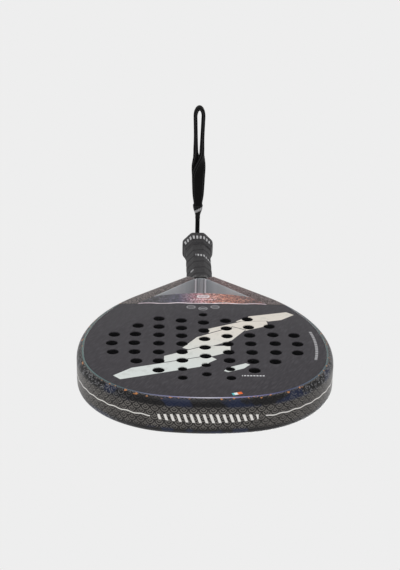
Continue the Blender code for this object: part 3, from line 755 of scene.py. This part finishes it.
def plain_finish(name, dark, light, roughness, scale, depth, specular):
    """A moulded or foamed material: two close tones in a fine grain."""
    f = Finish(name, Specular_IOR_Level=specular)
    place = f.object_place()
    grain = f.noise(place, scale, 3.0)
    blotch = f.noise(place, scale / 25)
    colour = f.mix((grain * 0.6 + blotch * 0.4).above(0.5, 0.3), dark, light)
    return f.done(colour, roughness - 0.06 + grain * 0.12, grain, depth)


def overgrip_finish():
    """Matt charcoal wrap: fine leather-like grain, painted shade at the steps of the wrap, with pale printed
    blocks.
    """
    f = Finish("overgrip_fabric", Specular_IOR_Level=0.2, Sheen_Weight=0.04, Sheen_Roughness=0.5)
    place = f.object_place()
    around, along = f.surface_place()
    grain = f.noise(place, 900.0, 3.0)
    pores = f.specks(place, 1100.0)
    winding = (along / WRAP_PITCH + around) % 1.0
    # Painted shade along the step where each turn of the wrap overlaps the last; the same mask also dips the
    # bump
    shaded_step = winding.above(0.955, 0.05) + winding.below(0.03, 0.03)
    base = f.mix((grain * 0.7 + pores * 0.3).above(0.5, 0.4), (0.018, 0.017, 0.019), (0.042, 0.040, 0.042))
    base = f.mix(shaded_step.smaller(1.0) * 0.4, base, (0.007, 0.007, 0.008))

    blocks = (around * PRINT_BLOCKS % 1.0).within(0.15, 0.70, 0.1)
    rim = along.within(LENGTH - 0.0190, LENGTH - 0.0125, 0.0005) * around.within(*PRINT_TURNS, 0.01)
    level = along - (around - 0.70) * WRAP_PITCH
    second = level.within(0.3830, 0.3885, 0.0005) * around.within(0.56, 0.79, 0.006)
    small = along.within(0.3395, 0.3445, 0.0005) * around.within(0.83, 0.88, 0.006)
    ink = ((rim + second) * blocks + small * 0.7).smaller(1.0)
    colour = f.mix(ink * 0.85, base, (0.56, 0.56, 0.57))
    return f.done(colour, 0.62 + grain * 0.2, grain * 0.5 + pores * 0.5 - shaded_step * 0.4, 0.00012)


def weave_finish(name, dark, light, thread, depth):
    """Woven or braided black fabric: two sets of slanted threads on the surface map."""
    f = Finish(name, Specular_IOR_Level=0.1, Sheen_Weight=0.03, Sheen_Roughness=0.4)
    around, along = f.surface_place()
    one = ((around + along) * (math.tau / thread)).sine()
    two = ((around - along) * (math.tau / thread)).sine()
    braid = one * two * 0.5 + 0.5
    return f.done(f.mix(braid, dark, light), 0.72 + braid * 0.15, braid, depth)


def strap_finish():
    """Black padded band: fine weave, with a lighter stitched line along each edge."""
    f = Finish("strap_fabric", Specular_IOR_Level=0.1, Sheen_Weight=0.02, Sheen_Roughness=0.4)
    around, along = f.surface_place()
    warp = (around * (math.tau / 0.0011)).sine()
    weft = (along * (math.tau / 0.0009)).sine()
    weave = warp * weft * 0.5 + 0.5
    edge = f.tagged("edge_mark")
    stitch = (edge - STITCH_SHARE).near(0.06, 0.04) * along.phase(0.0030).above(0.28, 0.1)
    base = f.mix(weave, (0.0025, 0.0022, 0.0024), (0.0065, 0.0060, 0.0064))
    base = f.mix(edge.above(1.60, 0.3) * 0.8, base, (0.045, 0.044, 0.047))
    colour = f.mix(stitch * 0.55, base, (0.05, 0.05, 0.052))
    return f.done(colour, 0.75 + weave * 0.12, weave * 0.6 + stitch * 0.8, 0.00012)


def joint_finish():
    """Black rubber with a tilted pale band of generic marks."""
    f = Finish("joint_rubber", Specular_IOR_Level=0.15)
    place = f.object_place()
    x, y, z = f.parts(place)
    grain = f.noise(place, 1100.0, 3.0)
    level = z + STRAP_PIVOT_DROP + 0.0090 - x * 0.6
    band = level.near(0.0020, 0.0005) * x.phase(0.0024).within(0.1, 0.72, 0.15)
    base = f.mix(grain.above(0.5, 0.4), (0.005, 0.005, 0.0055), (0.010, 0.010, 0.0105))
    return f.done(f.mix(band * 0.85, base, (0.62, 0.62, 0.63)), 0.48 + grain * 0.15, grain, 0.00008)


def floor_finish():
    f = Finish("studio_floor", Specular_IOR_Level=0.1)
    drift = f.noise(f.object_place(), 3.0)
    return f.done(f.mix(drift, (0.80, 0.80, 0.80), (0.84, 0.84, 0.84)), 0.9)


# ---------------------------------------------------------------- head outline

def half_outline():
    """Right half of the outer outline: (x, from_tip, heading) from the tip to the arm's straight start."""
    x, u, heading = 0.0, 0.0, 0.0
    points = [(x, u, heading)]
    for radius, degrees in HEAD_ARCS:
        steps = max(2, math.ceil(degrees / ARC_STEP))
        step = math.radians(degrees) / steps
        centre_x = x - radius * math.sin(heading)
        centre_u = u + radius * math.cos(heading)
        for _ in range(steps):
            heading += step
            x = centre_x + radius * math.sin(heading)
            u = centre_u - radius * math.cos(heading)
            points.append((x, u, heading))
    return points


def ring_stations():
    """Right half of the frame tube in plan: (outer point, inner point) pairs from the tip to the apex."""
    raw = half_outline()
    widen = HALF_WIDTH / max(x for x, _, _ in raw)
    stations = []
    for x, u, heading in raw:
        along = Vector((math.cos(heading) * widen, math.sin(heading))).normalized()
        outward = Vector((along.y, -along.x))
        outer = Vector((x * widen, u))
        stations.append((outer, outer - outward * between(TUBE_WIDTHS, u)))
    start = outer
    reach = (start.x - outward.x * ARM_NARROW - APEX_HALF_WIDTH) / -along.x
    for i in range(1, ARM_STEPS + 1):
        outer = start + along * reach * i / ARM_STEPS
        share = smooth(i / ARM_STEPS)
        width = between(TUBE_WIDTHS, start.y) * (1 - share) + ARM_NARROW * share
        stations.append((outer, outer - outward * width))
    return stations


STATIONS = ring_stations()
ARM_END = STATIONS[-1][0].y
APEX = STATIONS[-1][1].y
HANDLE_START = ARM_END + HANDLE_BACK
COLLAR_LENGTH = 0.0050
GRIP_START = HANDLE_START + COLLAR_LENGTH + GAP


def inset_line(inset):
    return [outer + (inner - outer).normalized() * inset for outer, inner in STATIONS]


def inner_line(inset):
    return [inner + (inner - outer).normalized() * inset for outer, inner in STATIONS]


def trimmed(line, low, high):
    """The part of a line between two distances from the tip, with its ends put exactly there."""
    def point_at(level):
        for a, b in zip(line, line[1:]):
            if a.y <= level <= b.y:
                return a.lerp(b, (level - a.y) / (b.y - a.y))
        return line[0]
    return [point_at(low)] + [point for point in line if low < point.y < high] + [point_at(high)]


def face_corner_x():
    return trimmed(inset_line(SHOULDER_WIDTH), 0.0, FACE_END_MIDDLE - FACE_END_CROWN)[-1].x


def face_end(x):
    return FACE_END_MIDDLE - FACE_END_CROWN * (x / face_corner_x()) ** 2


def face_end_corner(line, back_off=0.0):
    level = FACE_END_MIDDLE
    for _ in range(6):
        level = face_end(trimmed(line, 0.0, level)[-1].x) - back_off
    return level


def head_plate(line, back_off):
    """Whole outline of a plate that fills a line across the head up to the faces' end."""
    right = [point for point in trimmed(line, 0.0, face_end_corner(line, back_off)) if point.x > 0.0005]
    corner = right[-1].x
    across = []
    for i in range(1, FACE_END_STEPS):
        x = corner * (1 - 2 * i / FACE_END_STEPS)
        across.append((x, face_end(x) - back_off))
    outline = [(0.0, line[0].y)] + [(point.x, point.y) for point in right] + across
    return outline + [(-point.x, point.y) for point in reversed(right)]


# ---------------------------------------------------------------- frame

def tube_section(width, half_height, shoulder, shoulder_height, edge):
    """Points (across, z, distance along the section from the wall's middle, share of inner wall)."""
    upper, length = [], half_height - shoulder_height
    for i in range(9):
        angle = math.radians(90 * i / 8)
        point = (shoulder * (1 - math.cos(angle)), half_height - shoulder_height * (1 - math.sin(angle)))
        if upper:
            length += math.dist(point, upper[-1][:2])
        upper.append((*point, length, 0.0))
    for i in range(4):
        angle = math.radians(90 * i / 3)
        point = (width - edge * (1 - math.sin(angle)), half_height - edge * (1 - math.cos(angle)))
        length += math.dist(point, upper[-1][:2])
        upper.append((*point, length, i / 3))
    return upper + [(across, -z, -distance, share) for across, z, distance, share in reversed(upper)]


def corner_cut(keys, rounds):
    """Smooth a list of stations, each a list of numbers, by cutting its corners."""
    for _ in range(rounds):
        cut = [keys[0]]
        for a, b in zip(keys, keys[1:]):
            for share in (0.25, 0.75):
                cut.append([p + (q - p) * share for p, q in zip(a, b)])
        keys = cut + [keys[-1]]
    return keys


def frame_stations():
    """[outer x, outer from_tip, inner x, inner from_tip, half height, shoulder, shoulder height, wall]"""
    head = [[outer.x, outer.y, inner.x, inner.y, HALF_THICKNESS, SHOULDER_WIDTH, SHOULDER_HEIGHT, TUBE_WALL]
            for outer, inner in STATIONS]

    def leg(outer_at, inner_at):
        return [LEG_OUTER_X, outer_at, LEG_INNER_X, inner_at, LEG_HALF_HEIGHT, LEG_SHOULDER, LEG_SHOULDER,
                LEG_WALL]

    turn = [TURN_OUTER_X, ARM_END + TURN_OUTER_BACK, TURN_INNER_X, APEX + TURN_INNER_BACK,
            HALF_THICKNESS - TURN_DROP, SHOULDER_WIDTH, LEG_SHOULDER, TUBE_WALL]
    keys = [head[-1], turn, leg(ARM_END + LEG_STRAIGHT_BACK, ARM_END + LEGS_MEET_BACK)]
    legs = [leg(at, at) for at in (ARM_END + LEG_SQUARE_BACK, LENGTH - LEG_END_TO_BUTT)]
    return head[:-1] + corner_cut(keys, 2) + legs


def make_frame(finish):
    skins, hollows, marks = [], [], []
    half = frame_stations()
    alongs = [0.0]
    for a, b in zip(half, half[1:]):
        alongs.append(alongs[-1] + math.dist(a[:2], b[:2]))
    order = [(-1, i) for i in range(len(half) - 1, -1, -1)] + [(1, i) for i in range(1, len(half))]
    for side, i in order:
        ox, ou, ix, iu, half_height, shoulder, shoulder_height, wall = half[i]
        outer, inner = Vector((ox, ou)), Vector((ix, iu))
        width, across = (inner - outer).length, (inner - outer).normalized()
        hollow_half = min(half_height, SEAT_HALF) - wall
        section = tube_section(width, half_height, shoulder, shoulder_height, TUBE_EDGE)
        inside = tube_section(width - 2 * wall, hollow_half, shoulder - wall,
                              shoulder_height - (half_height - hollow_half) * 0.9, TUBE_EDGE / 2)
        for rings, profile, start in ((skins, section, 0.0), (hollows, inside, wall)):
            places = [outer + across * (start + point[0]) for point in profile]
            rings.append([(side * p.x, y_at(p.y), point[1]) for p, point in zip(places, profile)])
        marks.append(([point[2] for point in section], [point[3] for point in section], side * alongs[i]))
    rings = skins + list(reversed(hollows))
    marks = marks + list(reversed(marks))
    sides = len(rings[0])
    obj = tube("composite_frame", rings, True, lambda ring, point: marks[ring][0][point % sides],
               lambda ring: marks[ring][2], ("inner_wall", lambda ring, point: marks[ring][1][point]))
    for side in (-1, 1):
        levels = sorted((side * SEAT_HALF, side * HALF_THICKNESS * 1.2))
        pocket = plate("pocket", head_plate(inset_line(SHOULDER_WIDTH), 0.0), *levels)
        cut_away(obj, pocket)
        throw_away(pocket)
    shade(obj, 32)
    finish_piece(obj, finish, "racket", ["frame_tube"])


# ---------------------------------------------------------------- faces, core, bridge, filler

def hole_places():
    """(x, from_tip, radius) of every hole through the faces and the core."""
    spacing = (HALF_WIDTH - HOLE_EDGE_MARGIN) / (len(HOLE_COLUMNS) - 1)
    places = []
    for column, (first, pitch, count, bow, small) in enumerate(HOLE_COLUMNS):
        for row in range(count):
            off_middle = 2 * row / (count - 1) - 1
            x = column * spacing + bow * (0.5 - off_middle ** 2)
            radius = SMALL_HOLE_RADIUS if row in small else HOLE_RADIUS
            for side in ((1, -1) if column else (1,)):
                places.append((side * x, first + row * pitch, radius))
    return places


def make_drill():
    """Round cutters for all holes, which widen at the faces to leave a small chamfer."""
    drills = []
    for x, from_tip, radius in hole_places():
        rings = []
        inside, outside = HALF_THICKNESS - HOLE_CHAMFER, HALF_THICKNESS + DRILL_OVERSHOOT
        wide = radius + HOLE_CHAMFER + DRILL_OVERSHOOT
        for z, r in ((-outside, wide), (-inside, radius), (inside, radius), (outside, wide)):
            rings.append([(x + r * math.sin(turn), y_at(from_tip) + r * math.cos(turn), z)
                          for turn in (math.tau * i / HOLE_SIDES for i in range(HOLE_SIDES))])
        drills.append(tube("drill", rings))
    return join(drills, "drills")


def make_faces(finish, drill):
    for where, side in (("front", -1), ("back", 1)):
        levels = sorted((side * (HALF_THICKNESS - SKIN_THICKNESS), side * HALF_THICKNESS))
        outline = head_plate(inset_line(SHOULDER_WIDTH + GAP), GAP)
        obj = plate(where + "_face_laminate", outline, *levels)
        bevel_where(obj, lambda ends: at_height(ends, HALF_THICKNESS), 0.0003, 2)
        cut_away(obj, drill)
        shade(obj, 30)
        finish_piece(obj, finish, "racket", ["face_" + where])


def make_core(finish, drill):
    obj = plate("perforated_core", head_plate(inner_line(GAP), GAP), -SEAT_HALF, SEAT_HALF)
    cut_away(obj, drill)
    shade(obj, 30)
    finish_piece(obj, finish, "racket", ["foam_core"])


def make_bridge(finish):
    line = inner_line(GAP)
    right = trimmed(line, face_end_corner(line), BRIDGE_ARCH_MIDDLE - BRIDGE_ARCH_RISE)
    corner, foot = right[-1].x, right[0].x
    arch, base = [], []
    for i in range(1, BRIDGE_STEPS):
        share = 1 - 2 * i / BRIDGE_STEPS
        arch.append((corner * share, BRIDGE_ARCH_MIDDLE - BRIDGE_ARCH_RISE * share ** 2))
        base.append((-foot * share, face_end(foot * share)))
    outline = [(point.x, point.y) for point in right] + arch
    outline += [(-point.x, point.y) for point in reversed(right)] + base
    obj = plate("throat_bridge_moulding", outline, -HALF_THICKNESS, HALF_THICKNESS)

    def arch_edge(ends):
        behind = all(p.y > y_at(BRIDGE_ARCH_MIDDLE - BRIDGE_ARCH_RISE * 1.02) for p in ends)
        return behind and at_height(ends, HALF_THICKNESS)

    bevel_where(obj, arch_edge, BRIDGE_ROUND, 4)
    shade(obj, 35)
    finish_piece(obj, finish, "racket", ["throat_bridge"])


def make_filler(finish):
    """Wedge between the arms. Its end that closes the throat is hollowed between two low ribs."""
    high = HALF_THICKNESS - FILLER_INSET
    legs_meet = ARM_END + LEGS_MEET_BACK
    turn, tip = APEX + TURN_INNER_BACK, legs_meet - FILLER_TIP_SHORT
    reach = (tip - turn) / (legs_meet - turn)
    turn_x = TURN_INNER_X - FILLER_CLEARANCE
    tip_x = TURN_INNER_X + (LEG_INNER_X - TURN_INNER_X) * reach - FILLER_CLEARANCE
    outline = []
    for i in range(FILLER_STEPS + 1):
        share = 1 - 2 * i / FILLER_STEPS
        rib = RIB_HEIGHT * math.exp(-((abs(share) - RIB_SHARE) / RIB_SPREAD) ** 2)
        dip = FILLER_HOLLOW * (1 - share ** 2) - rib
        outline.append(((APEX_HALF_WIDTH - FILLER_CLEARANCE) * share, APEX + dip))
    outline += [(-turn_x, turn), (-tip_x, tip), (tip_x, tip), (turn_x, turn)]
    obj = plate("throat_filler_wedge", outline, -high, high)
    tip_high = high + (LEG_HALF_HEIGHT - high) * reach
    for vertex in obj.data.vertices:
        if abs(vertex.co.y - y_at(tip)) < CLOSE:
            vertex.co.z = math.copysign(tip_high, vertex.co.z)

    def apex_edge(ends):
        return at_height(ends, high) and all(p.y < y_at(turn) - 10 * CLOSE for p in ends)

    bevel_where(obj, apex_edge, FILLER_ROUND, 3)
    shade(obj, 30)
    finish_piece(obj, finish, "racket", ["throat_filler"])


# ---------------------------------------------------------------- handle

CORE_HALF = 0.0117
BASE_GRIP_INNER = CORE_HALF + GAP
BASE_GRIP_THICKNESS = 0.0015
OVERGRIP_THICKNESS = 0.0008
OVERGRIP_RIDGE = 0.0004
WRAP_PITCH = 0.019
FLARE = 0.0027
FLARE_START = LENGTH - 0.027
FLARE_FULL = LENGTH - 0.010
COLLAR_HALF = 0.0152
BUTT_CAP_WALL = 0.0012
CAP_CLIMB = 0.0040
BUTT_CAP_LIP = 0.0010
BUTT_PLATE = 0.0030
CORD_HOLE_RADIUS = 0.0044
CORD_HOLE_LIP = 0.0016
BUTT_DISH = 0.0006
BUTT_RIM = ((0.0005, 0.0), (0.00025, 0.00015), (0.00008, 0.0004), (0.0, 0.0008), (0.0, 0.0026),
            (BUTT_DISH, 0.0036))        # (in from the end, in from the side)
COLLAR_PROFILE = (      # (from its start, out from its half width): a rounded edge and two grooves
    (0.0, -0.0011), (0.00015, -0.0005), (0.0005, -0.0001), (0.0010, 0.0), (0.0018, 0.0), (0.0020, -0.0002),
    (0.0022, 0.0), (0.0034, 0.0), (0.0036, -0.0002), (0.0038, 0.0), (COLLAR_LENGTH - 0.0004, 0.0),
    (COLLAR_LENGTH - 0.0001, -0.0001), (COLLAR_LENGTH, -0.0004))
OVERGRIP_RINGS = 240
OVERGRIP_EDGE = 0.0004
GRIP_SIDES = 96
GRIP_ROUNDNESS = 34.0       # the higher, the sharper the octagon's corners


def octagon_radius(turn, half):
    """Distance from the axis to a softened octagon, at a turn in circles."""
    total = sum(max(0.0, math.cos(math.tau * (turn - i / 8))) ** GRIP_ROUNDNESS for i in range(8))
    return half * total ** (-1 / GRIP_ROUNDNESS)


OCTAGON = [octagon_radius(i / GRIP_SIDES, 1.0) for i in range(GRIP_SIDES)]


def grip_ring(from_tip, half, add=None):
    ring = []
    for i in range(GRIP_SIDES):
        turn = i / GRIP_SIDES
        radius = OCTAGON[i] * half + (add(from_tip, turn) if add else 0.0)
        ring.append((radius * math.cos(math.tau * turn), y_at(from_tip), radius * math.sin(math.tau * turn)))
    return ring


def flare_at(from_tip):
    return FLARE * smooth((from_tip - FLARE_START) / (FLARE_FULL - FLARE_START))


def wrap_base(from_tip):
    climb = (from_tip - FLARE_START + CAP_CLIMB) / CAP_CLIMB
    return BASE_GRIP_INNER + between(((0, 0), (1, BUTT_CAP_WALL + GAP)), climb) + flare_at(from_tip)


def wrap_ridge(from_tip, turn):
    """Each turn of the wrap starts with a small step up and runs down to nothing."""
    phase = (from_tip / WRAP_PITCH + turn) % 1.0
    rise = smooth(phase / 0.05)
    return OVERGRIP_RIDGE * rise * (1 - 0.9 * smooth(phase))


def make_overgrip(finish):
    start, end = GRIP_START, LENGTH - BUTT_CAP_LIP - GAP
    inner_add = BASE_GRIP_THICKNESS + GAP
    outer_add = inner_add + OVERGRIP_THICKNESS
    edge_add = inner_add + OVERGRIP_THICKNESS * 0.5
    places = spaced(start + OVERGRIP_EDGE, end - OVERGRIP_EDGE, OVERGRIP_RINGS)
    outside = [grip_ring(start, wrap_base(start) + edge_add)]
    outside += [grip_ring(at, wrap_base(at) + outer_add, wrap_ridge) for at in places]
    outside.append(grip_ring(end, wrap_base(end) + edge_add))
    inside_places = [end] + [LENGTH - back for back in spaced(0.006, 0.022, 5)]
    inside_places += [FLARE_START, FLARE_START - CAP_CLIMB, start]
    inside = [grip_ring(at, wrap_base(at) + inner_add) for at in inside_places]
    alongs = [start] + places + [end] + inside_places
    obj = tube("overgrip_wrap", outside + inside, True, lambda ring, point: point / GRIP_SIDES,
               lambda ring: alongs[ring])
    shade(obj, 50)
    finish_piece(obj, finish, "racket", ["overgrip"])


def make_collar(finish):
    """Moulded finishing band with a rounded front edge and two shallow grooves."""
    rings = [grip_ring(HANDLE_START + at, COLLAR_HALF + add) for at, add in COLLAR_PROFILE]
    rings += [grip_ring(HANDLE_START + at, BASE_GRIP_INNER) for at in (COLLAR_LENGTH, 0.0)]
    obj = tube("grip_finishing_collar", rings, True)
    shade(obj, 40)
    finish_piece(obj, finish, "racket", ["grip_collar"])


def make_butt_cap(finish):
    """Moulded cup: flared under the grip, a rounded bare rim, a dished end and a lipped cord hole."""
    inside = CORE_HALF + GAP
    shell = inside + BUTT_CAP_WALL
    end = LENGTH
    rings = [grip_ring(at, shell + flare_at(at)) for at in spaced(FLARE_START, end - BUTT_CAP_LIP, 12)]
    rings += [grip_ring(end - back, shell + FLARE - drop) for back, drop in BUTT_RIM]

    def round_ring(back, radius):
        return [(radius * math.cos(turn), y_at(end - back), radius * math.sin(turn))
                for turn in (math.tau * i / GRIP_SIDES for i in range(GRIP_SIDES))]

    lip = CORD_HOLE_RADIUS + CORD_HOLE_LIP
    for back, radius in ((BUTT_DISH, lip + 0.0008), (BUTT_DISH * 0.9, lip + 0.0003), (0.0001, lip),
                         (0.0, lip - 0.0004), (0.0001, CORD_HOLE_RADIUS + 0.0005),
                         (0.0008, CORD_HOLE_RADIUS), (BUTT_PLATE, CORD_HOLE_RADIUS)):
        rings.append(round_ring(back, radius))
    rings += [grip_ring(end - BUTT_PLATE, inside), grip_ring(FLARE_START, inside)]
    obj = tube("butt_cap_moulding", rings, True)
    shade(obj, 40)
    finish_piece(obj, finish, "racket", ["butt_cap"])


# ---------------------------------------------------------------- wrist cord, joint and strap

CORD_RADIUS = 0.00125
STRAND_RADIUS = CORD_RADIUS + GAP / 2      # the two strands touch
BEND_START = BUTT_END + 0.0065
BEND_RADIUS = SWING_Y - BEND_START
CORD_INSIDE = 0.0040        # the stretch behind the butt's end, up to the knot
CORD_END_DROP = STRAP_PIVOT_DROP - 0.0008
CORD_SIDES = 16
STRAND_SPREAD = 0.985       # under 1, so that the strands press into each other a little


def cord_route():
    """Centreline (y, z, direction angle) from the knot, out of the butt, round the bend and down."""
    route = [(y, 0.0, 0.0) for y in spaced(BUTT_END - CORD_INSIDE, BEND_START - 0.001, 8)]
    for i in range(13):
        angle = math.radians(90 * i / 12)
        route.append((BEND_START + BEND_RADIUS * math.sin(angle), BEND_RADIUS * (math.cos(angle) - 1), angle))
    for z in spaced(-BEND_RADIUS - 0.0015, -CORD_END_DROP, 18):
        route.append((SWING_Y, z, math.pi / 2))
    return route


def make_cord(finish):
    route = cord_route()
    distances = [0.0]
    for a, b in zip(route, route[1:]):
        distances.append(distances[-1] + math.dist(a[:2], b[:2]))
    strands = []
    for side in (-1, 1):
        rings = []
        for y, z, angle in route:
            up = Vector((0, math.sin(angle), math.cos(angle)))
            centre = Vector((side * STRAND_RADIUS * STRAND_SPREAD, y, z))
            turns = [math.tau * i / CORD_SIDES for i in range(CORD_SIDES)]
            rings.append([centre + (Vector((math.cos(turn), 0, 0)) + up * math.sin(turn)) * STRAND_RADIUS
                          for turn in turns])
        strands.append(tube("strand", rings, False,
                            lambda ring, point: point / CORD_SIDES * math.tau * STRAND_RADIUS,
                            lambda ring: distances[ring]))
    obj = join(strands, "doubled_wrist_cord")
    shade(obj, 60)
    finish_piece(obj, finish, None,
                 ["cord_root_left", "cord_root_right", "wrist_cord_left", "wrist_cord_right"])
    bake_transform(obj)


JOINT_SECTIONS = (      # (drop, half width, half depth)
    (0.0325, 0.0028, 0.0014), (0.0328, 0.0030, 0.0017), (0.0340, 0.0030, 0.0017), (0.0355, 0.0030, 0.0017),
    (0.0368, 0.0030, 0.0018), (0.0378, 0.0032, 0.0022), (0.0390, 0.0035, 0.0026), (0.0410, 0.0041, 0.0032),
    (0.0430, 0.0047, 0.0039), (0.0450, 0.0053, 0.0046), (0.0470, 0.0058, 0.0052), (0.0490, 0.0061, 0.0057),
    (0.0500, 0.0062, 0.0058), (0.0505, 0.0061, 0.0057), (0.0508, 0.0059, 0.0055), (0.0508, 0.0054, 0.0050),
    (0.0480, 0.0054, 0.0050))


def soft_box_ring(half_x, half_y, centre, count=32, power=3.2):
    """Points round a rounded rectangle in the XY plane."""
    ring = []
    for i in range(count):
        turn = math.tau * i / count
        c, s = math.cos(turn), math.sin(turn)
        size = (abs(c) ** power + abs(s) ** power) ** (-1 / power)
        ring.append((centre.x + half_x * c * size, centre.y + half_y * s * size, centre.z))
    return ring


def make_joint(finish):
    """Moulded taper, with a soft neck where the strap swings sideways."""
    sections = []
    for a, b in zip(JOINT_SECTIONS, JOINT_SECTIONS[1:]):
        sections += [[p + (q - p) * share for p, q in zip(a, b)] for share in (0.0, 0.5)]
    sections.append(list(JOINT_SECTIONS[-1]))
    rings = [soft_box_ring(x, y, Vector((0, SWING_Y, -drop))) for drop, x, y in sections]
    obj = tube("strap_joint_moulding", rings)
    shade(obj, 40)
    finish_piece(obj, finish, None, ["strap_joint"])
    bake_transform(obj)
    return obj


STRAP_THICKNESS = 0.0048
STRAP_SWELL = 0.0013        # added where the band twists
STRAP_SWELL_DROP = 0.117
STRAP_SWELL_REACH = 0.015
STRAP_START = 0.0481
STRAP_LOOP_END = 0.1779
STRAP_ARCH_START = 0.1650
STRAP_TWIST_START = 0.0840
STRAP_TWIST_END = 0.1240
STRAP_CROTCH = 0.1134
STRAP_LOOP_GAP = 0.0050
STRAP_WIDTHS = ((0.0530, 0.0102), (0.0640, 0.0140), (0.0840, 0.0160), (0.1134, 0.0150), (0.1800, 0.0138))
STRAP_LEG_RINGS = 110
STRAP_ARCH_RINGS = 28
STRAP_SIDES = 40
STRAP_MAP_WIDTH = 0.0145    # the width that the weave is laid out for


def soft_between(table, at):
    """between() with its corners rounded off."""
    spread = 0.004
    return sum(between(table, at + spread * shift) for shift in (-1, -0.5, 0, 0.5, 1)) / 5


def strap_gap(drop):
    along = min(1.0, max(0.0, (drop - STRAP_CROTCH) / (STRAP_ARCH_START - STRAP_CROTCH)))
    return 2 * GAP + (STRAP_LOOP_GAP - 2 * GAP) * along ** 0.75


def strap_thickness(drop):
    return STRAP_THICKNESS + STRAP_SWELL * math.exp(-((drop - STRAP_SWELL_DROP) / STRAP_SWELL_REACH) ** 2)


def strap_profile(width, thickness=STRAP_THICKNESS):
    """(across, up, mark) round the padded band: crowned, dipping at its stitched lines, with a rolled
    edge. The mark is the share of the half width, and it goes on to 2 at the middle of the side."""
    half_w, half_t = width / 2, thickness / 2
    profile = []
    for i in range(STRAP_SIDES):
        turn = math.tau * i / STRAP_SIDES
        c, s = math.cos(turn), math.sin(turn)
        size = (abs(c) ** 5 + abs(s) ** 5) ** (-1 / 5)
        across, up = c * size, s * size
        share = abs(across)
        crown = 1.0 - 0.10 * share ** 2
        dip = 0.20 * math.exp(-((share - STITCH_SHARE) / 0.075) ** 2)
        mark = share + (max(0.0, 1 - abs(up) / 0.3) if share > 0.9 else 0.0)
        profile.append((across * half_w, up * half_t * (crown - dip), mark))
    return profile


def strap_ring(offset, drop, width, thickness, twist, tilt):
    out = Vector((-math.sin(twist), -math.cos(twist), 0))
    across = Vector((math.cos(twist), -math.sin(twist), 0))
    outward = out * math.cos(tilt) + Vector((0, 0, -1)) * math.sin(tilt)
    centre = Vector((0, SWING_Y, -drop)) + out * offset
    return [centre + across * w + outward * t for w, t, _ in strap_profile(width, thickness)]


def make_strap(finish):
    half_t = STRAP_THICKNESS / 2
    leg = []
    for drop in spaced(STRAP_START, STRAP_ARCH_START, STRAP_LEG_RINGS):
        twist = smooth((drop - STRAP_TWIST_START) / (STRAP_TWIST_END - STRAP_TWIST_START)) * math.pi / 2
        thickness = strap_thickness(drop)
        leg.append(((thickness + strap_gap(drop)) / 2, drop, soft_between(STRAP_WIDTHS, drop), thickness,
                    twist, 0.0))
    side = leg[-1][0]
    height = STRAP_LOOP_END - half_t - STRAP_ARCH_START
    arch = []
    for i in range(1, STRAP_ARCH_RINGS):
        angle = math.pi * i / STRAP_ARCH_RINGS
        drop = STRAP_ARCH_START + height * math.sin(angle)
        tilt = math.atan2(side * math.sin(angle), height * math.cos(angle))
        arch.append((side * math.cos(angle), drop, soft_between(STRAP_WIDTHS, drop), STRAP_THICKNESS,
                     math.pi / 2, tilt))
    back = [(-station[0], *station[1:5], math.pi) for station in reversed(leg)]
    stations = leg + arch + back
    distances = [0.0]
    for a, b in zip(stations, stations[1:]):
        distances.append(distances[-1] + math.dist(a[:2], b[:2]))
    rings = [strap_ring(*station) for station in stations]
    perimeter = 2 * (STRAP_MAP_WIDTH + STRAP_THICKNESS)
    marks = [mark for _, _, mark in strap_profile(1.0)]
    obj = tube("padded_wrist_strap", rings, False, lambda ring, point: point / STRAP_SIDES * perimeter,
               lambda ring: distances[ring], ("edge_mark", lambda ring, point: marks[point]))
    shade(obj, 60)
    finish_piece(obj, finish, "wrist_strap", ["wrist_strap"])


# ---------------------------------------------------------------- the racket

def make_floor():
    deselect_all()
    bpy.ops.mesh.primitive_plane_add(size=FLOOR_SIZE, location=(0, 0, FLOOR_HEIGHT))
    floor = named("studio_floor")
    with editing(floor):
        bpy.ops.mesh.select_all(action="SELECT")
        bpy.ops.mesh.subdivide(number_cuts=3)
    floor.data.materials.append(floor_finish())


def give_finish(node, finish):
    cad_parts[node].data.materials.clear()
    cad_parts[node].data.materials.append(finish)


PLAIN_FINISHES = {      # (dark, light, roughness, scale of the grain, depth, specular)
    "collar_rubber": ((0.006, 0.006, 0.007), (0.014, 0.014, 0.015), 0.26, 700.0, 0.00005, 0.6),
    "cap_plastic": ((0.024, 0.024, 0.026), (0.036, 0.036, 0.038), 0.45, 900.0, 0.00008, 0.4),
    "handle_foam": ((0.46, 0.41, 0.30), (0.60, 0.55, 0.42), 0.8, 700.0, 0.0002, 0.4),
    "base_grip_rubber": ((0.030, 0.030, 0.031), (0.055, 0.055, 0.056), 0.7, 800.0, 0.00015, 0.4),
    "knot_fabric": ((0.004, 0.004, 0.005), (0.014, 0.014, 0.015), 0.8, 900.0, 0.0002, 0.25),
}


def build():
    make_camera()
    make_studio()
    cord_look = weave_finish("cord_black", (0.003, 0.003, 0.0032), (0.010, 0.010, 0.0105), 0.0009, 0.00012)
    joint = make_joint(joint_finish())
    make_cord(cord_look)
    make_strap(strap_finish())

    make_frame(frame_finish())
    drill = make_drill()
    make_faces(face_finish(), drill)
    make_core(foam_finish(), drill)
    throw_away(drill)
    make_bridge(bridge_finish())
    make_filler(silver_finish())
    plain = {name: plain_finish(name, *values) for name, values in PLAIN_FINISHES.items()}
    make_collar(plain["collar_rubber"])
    make_butt_cap(plain["cap_plastic"])
    make_overgrip(overgrip_finish())
    give_finish("handle_core", plain["handle_foam"])
    give_finish("base_grip", plain["base_grip_rubber"])
    give_finish("cord_knot", plain["knot_fabric"])
    make_floor()


build()
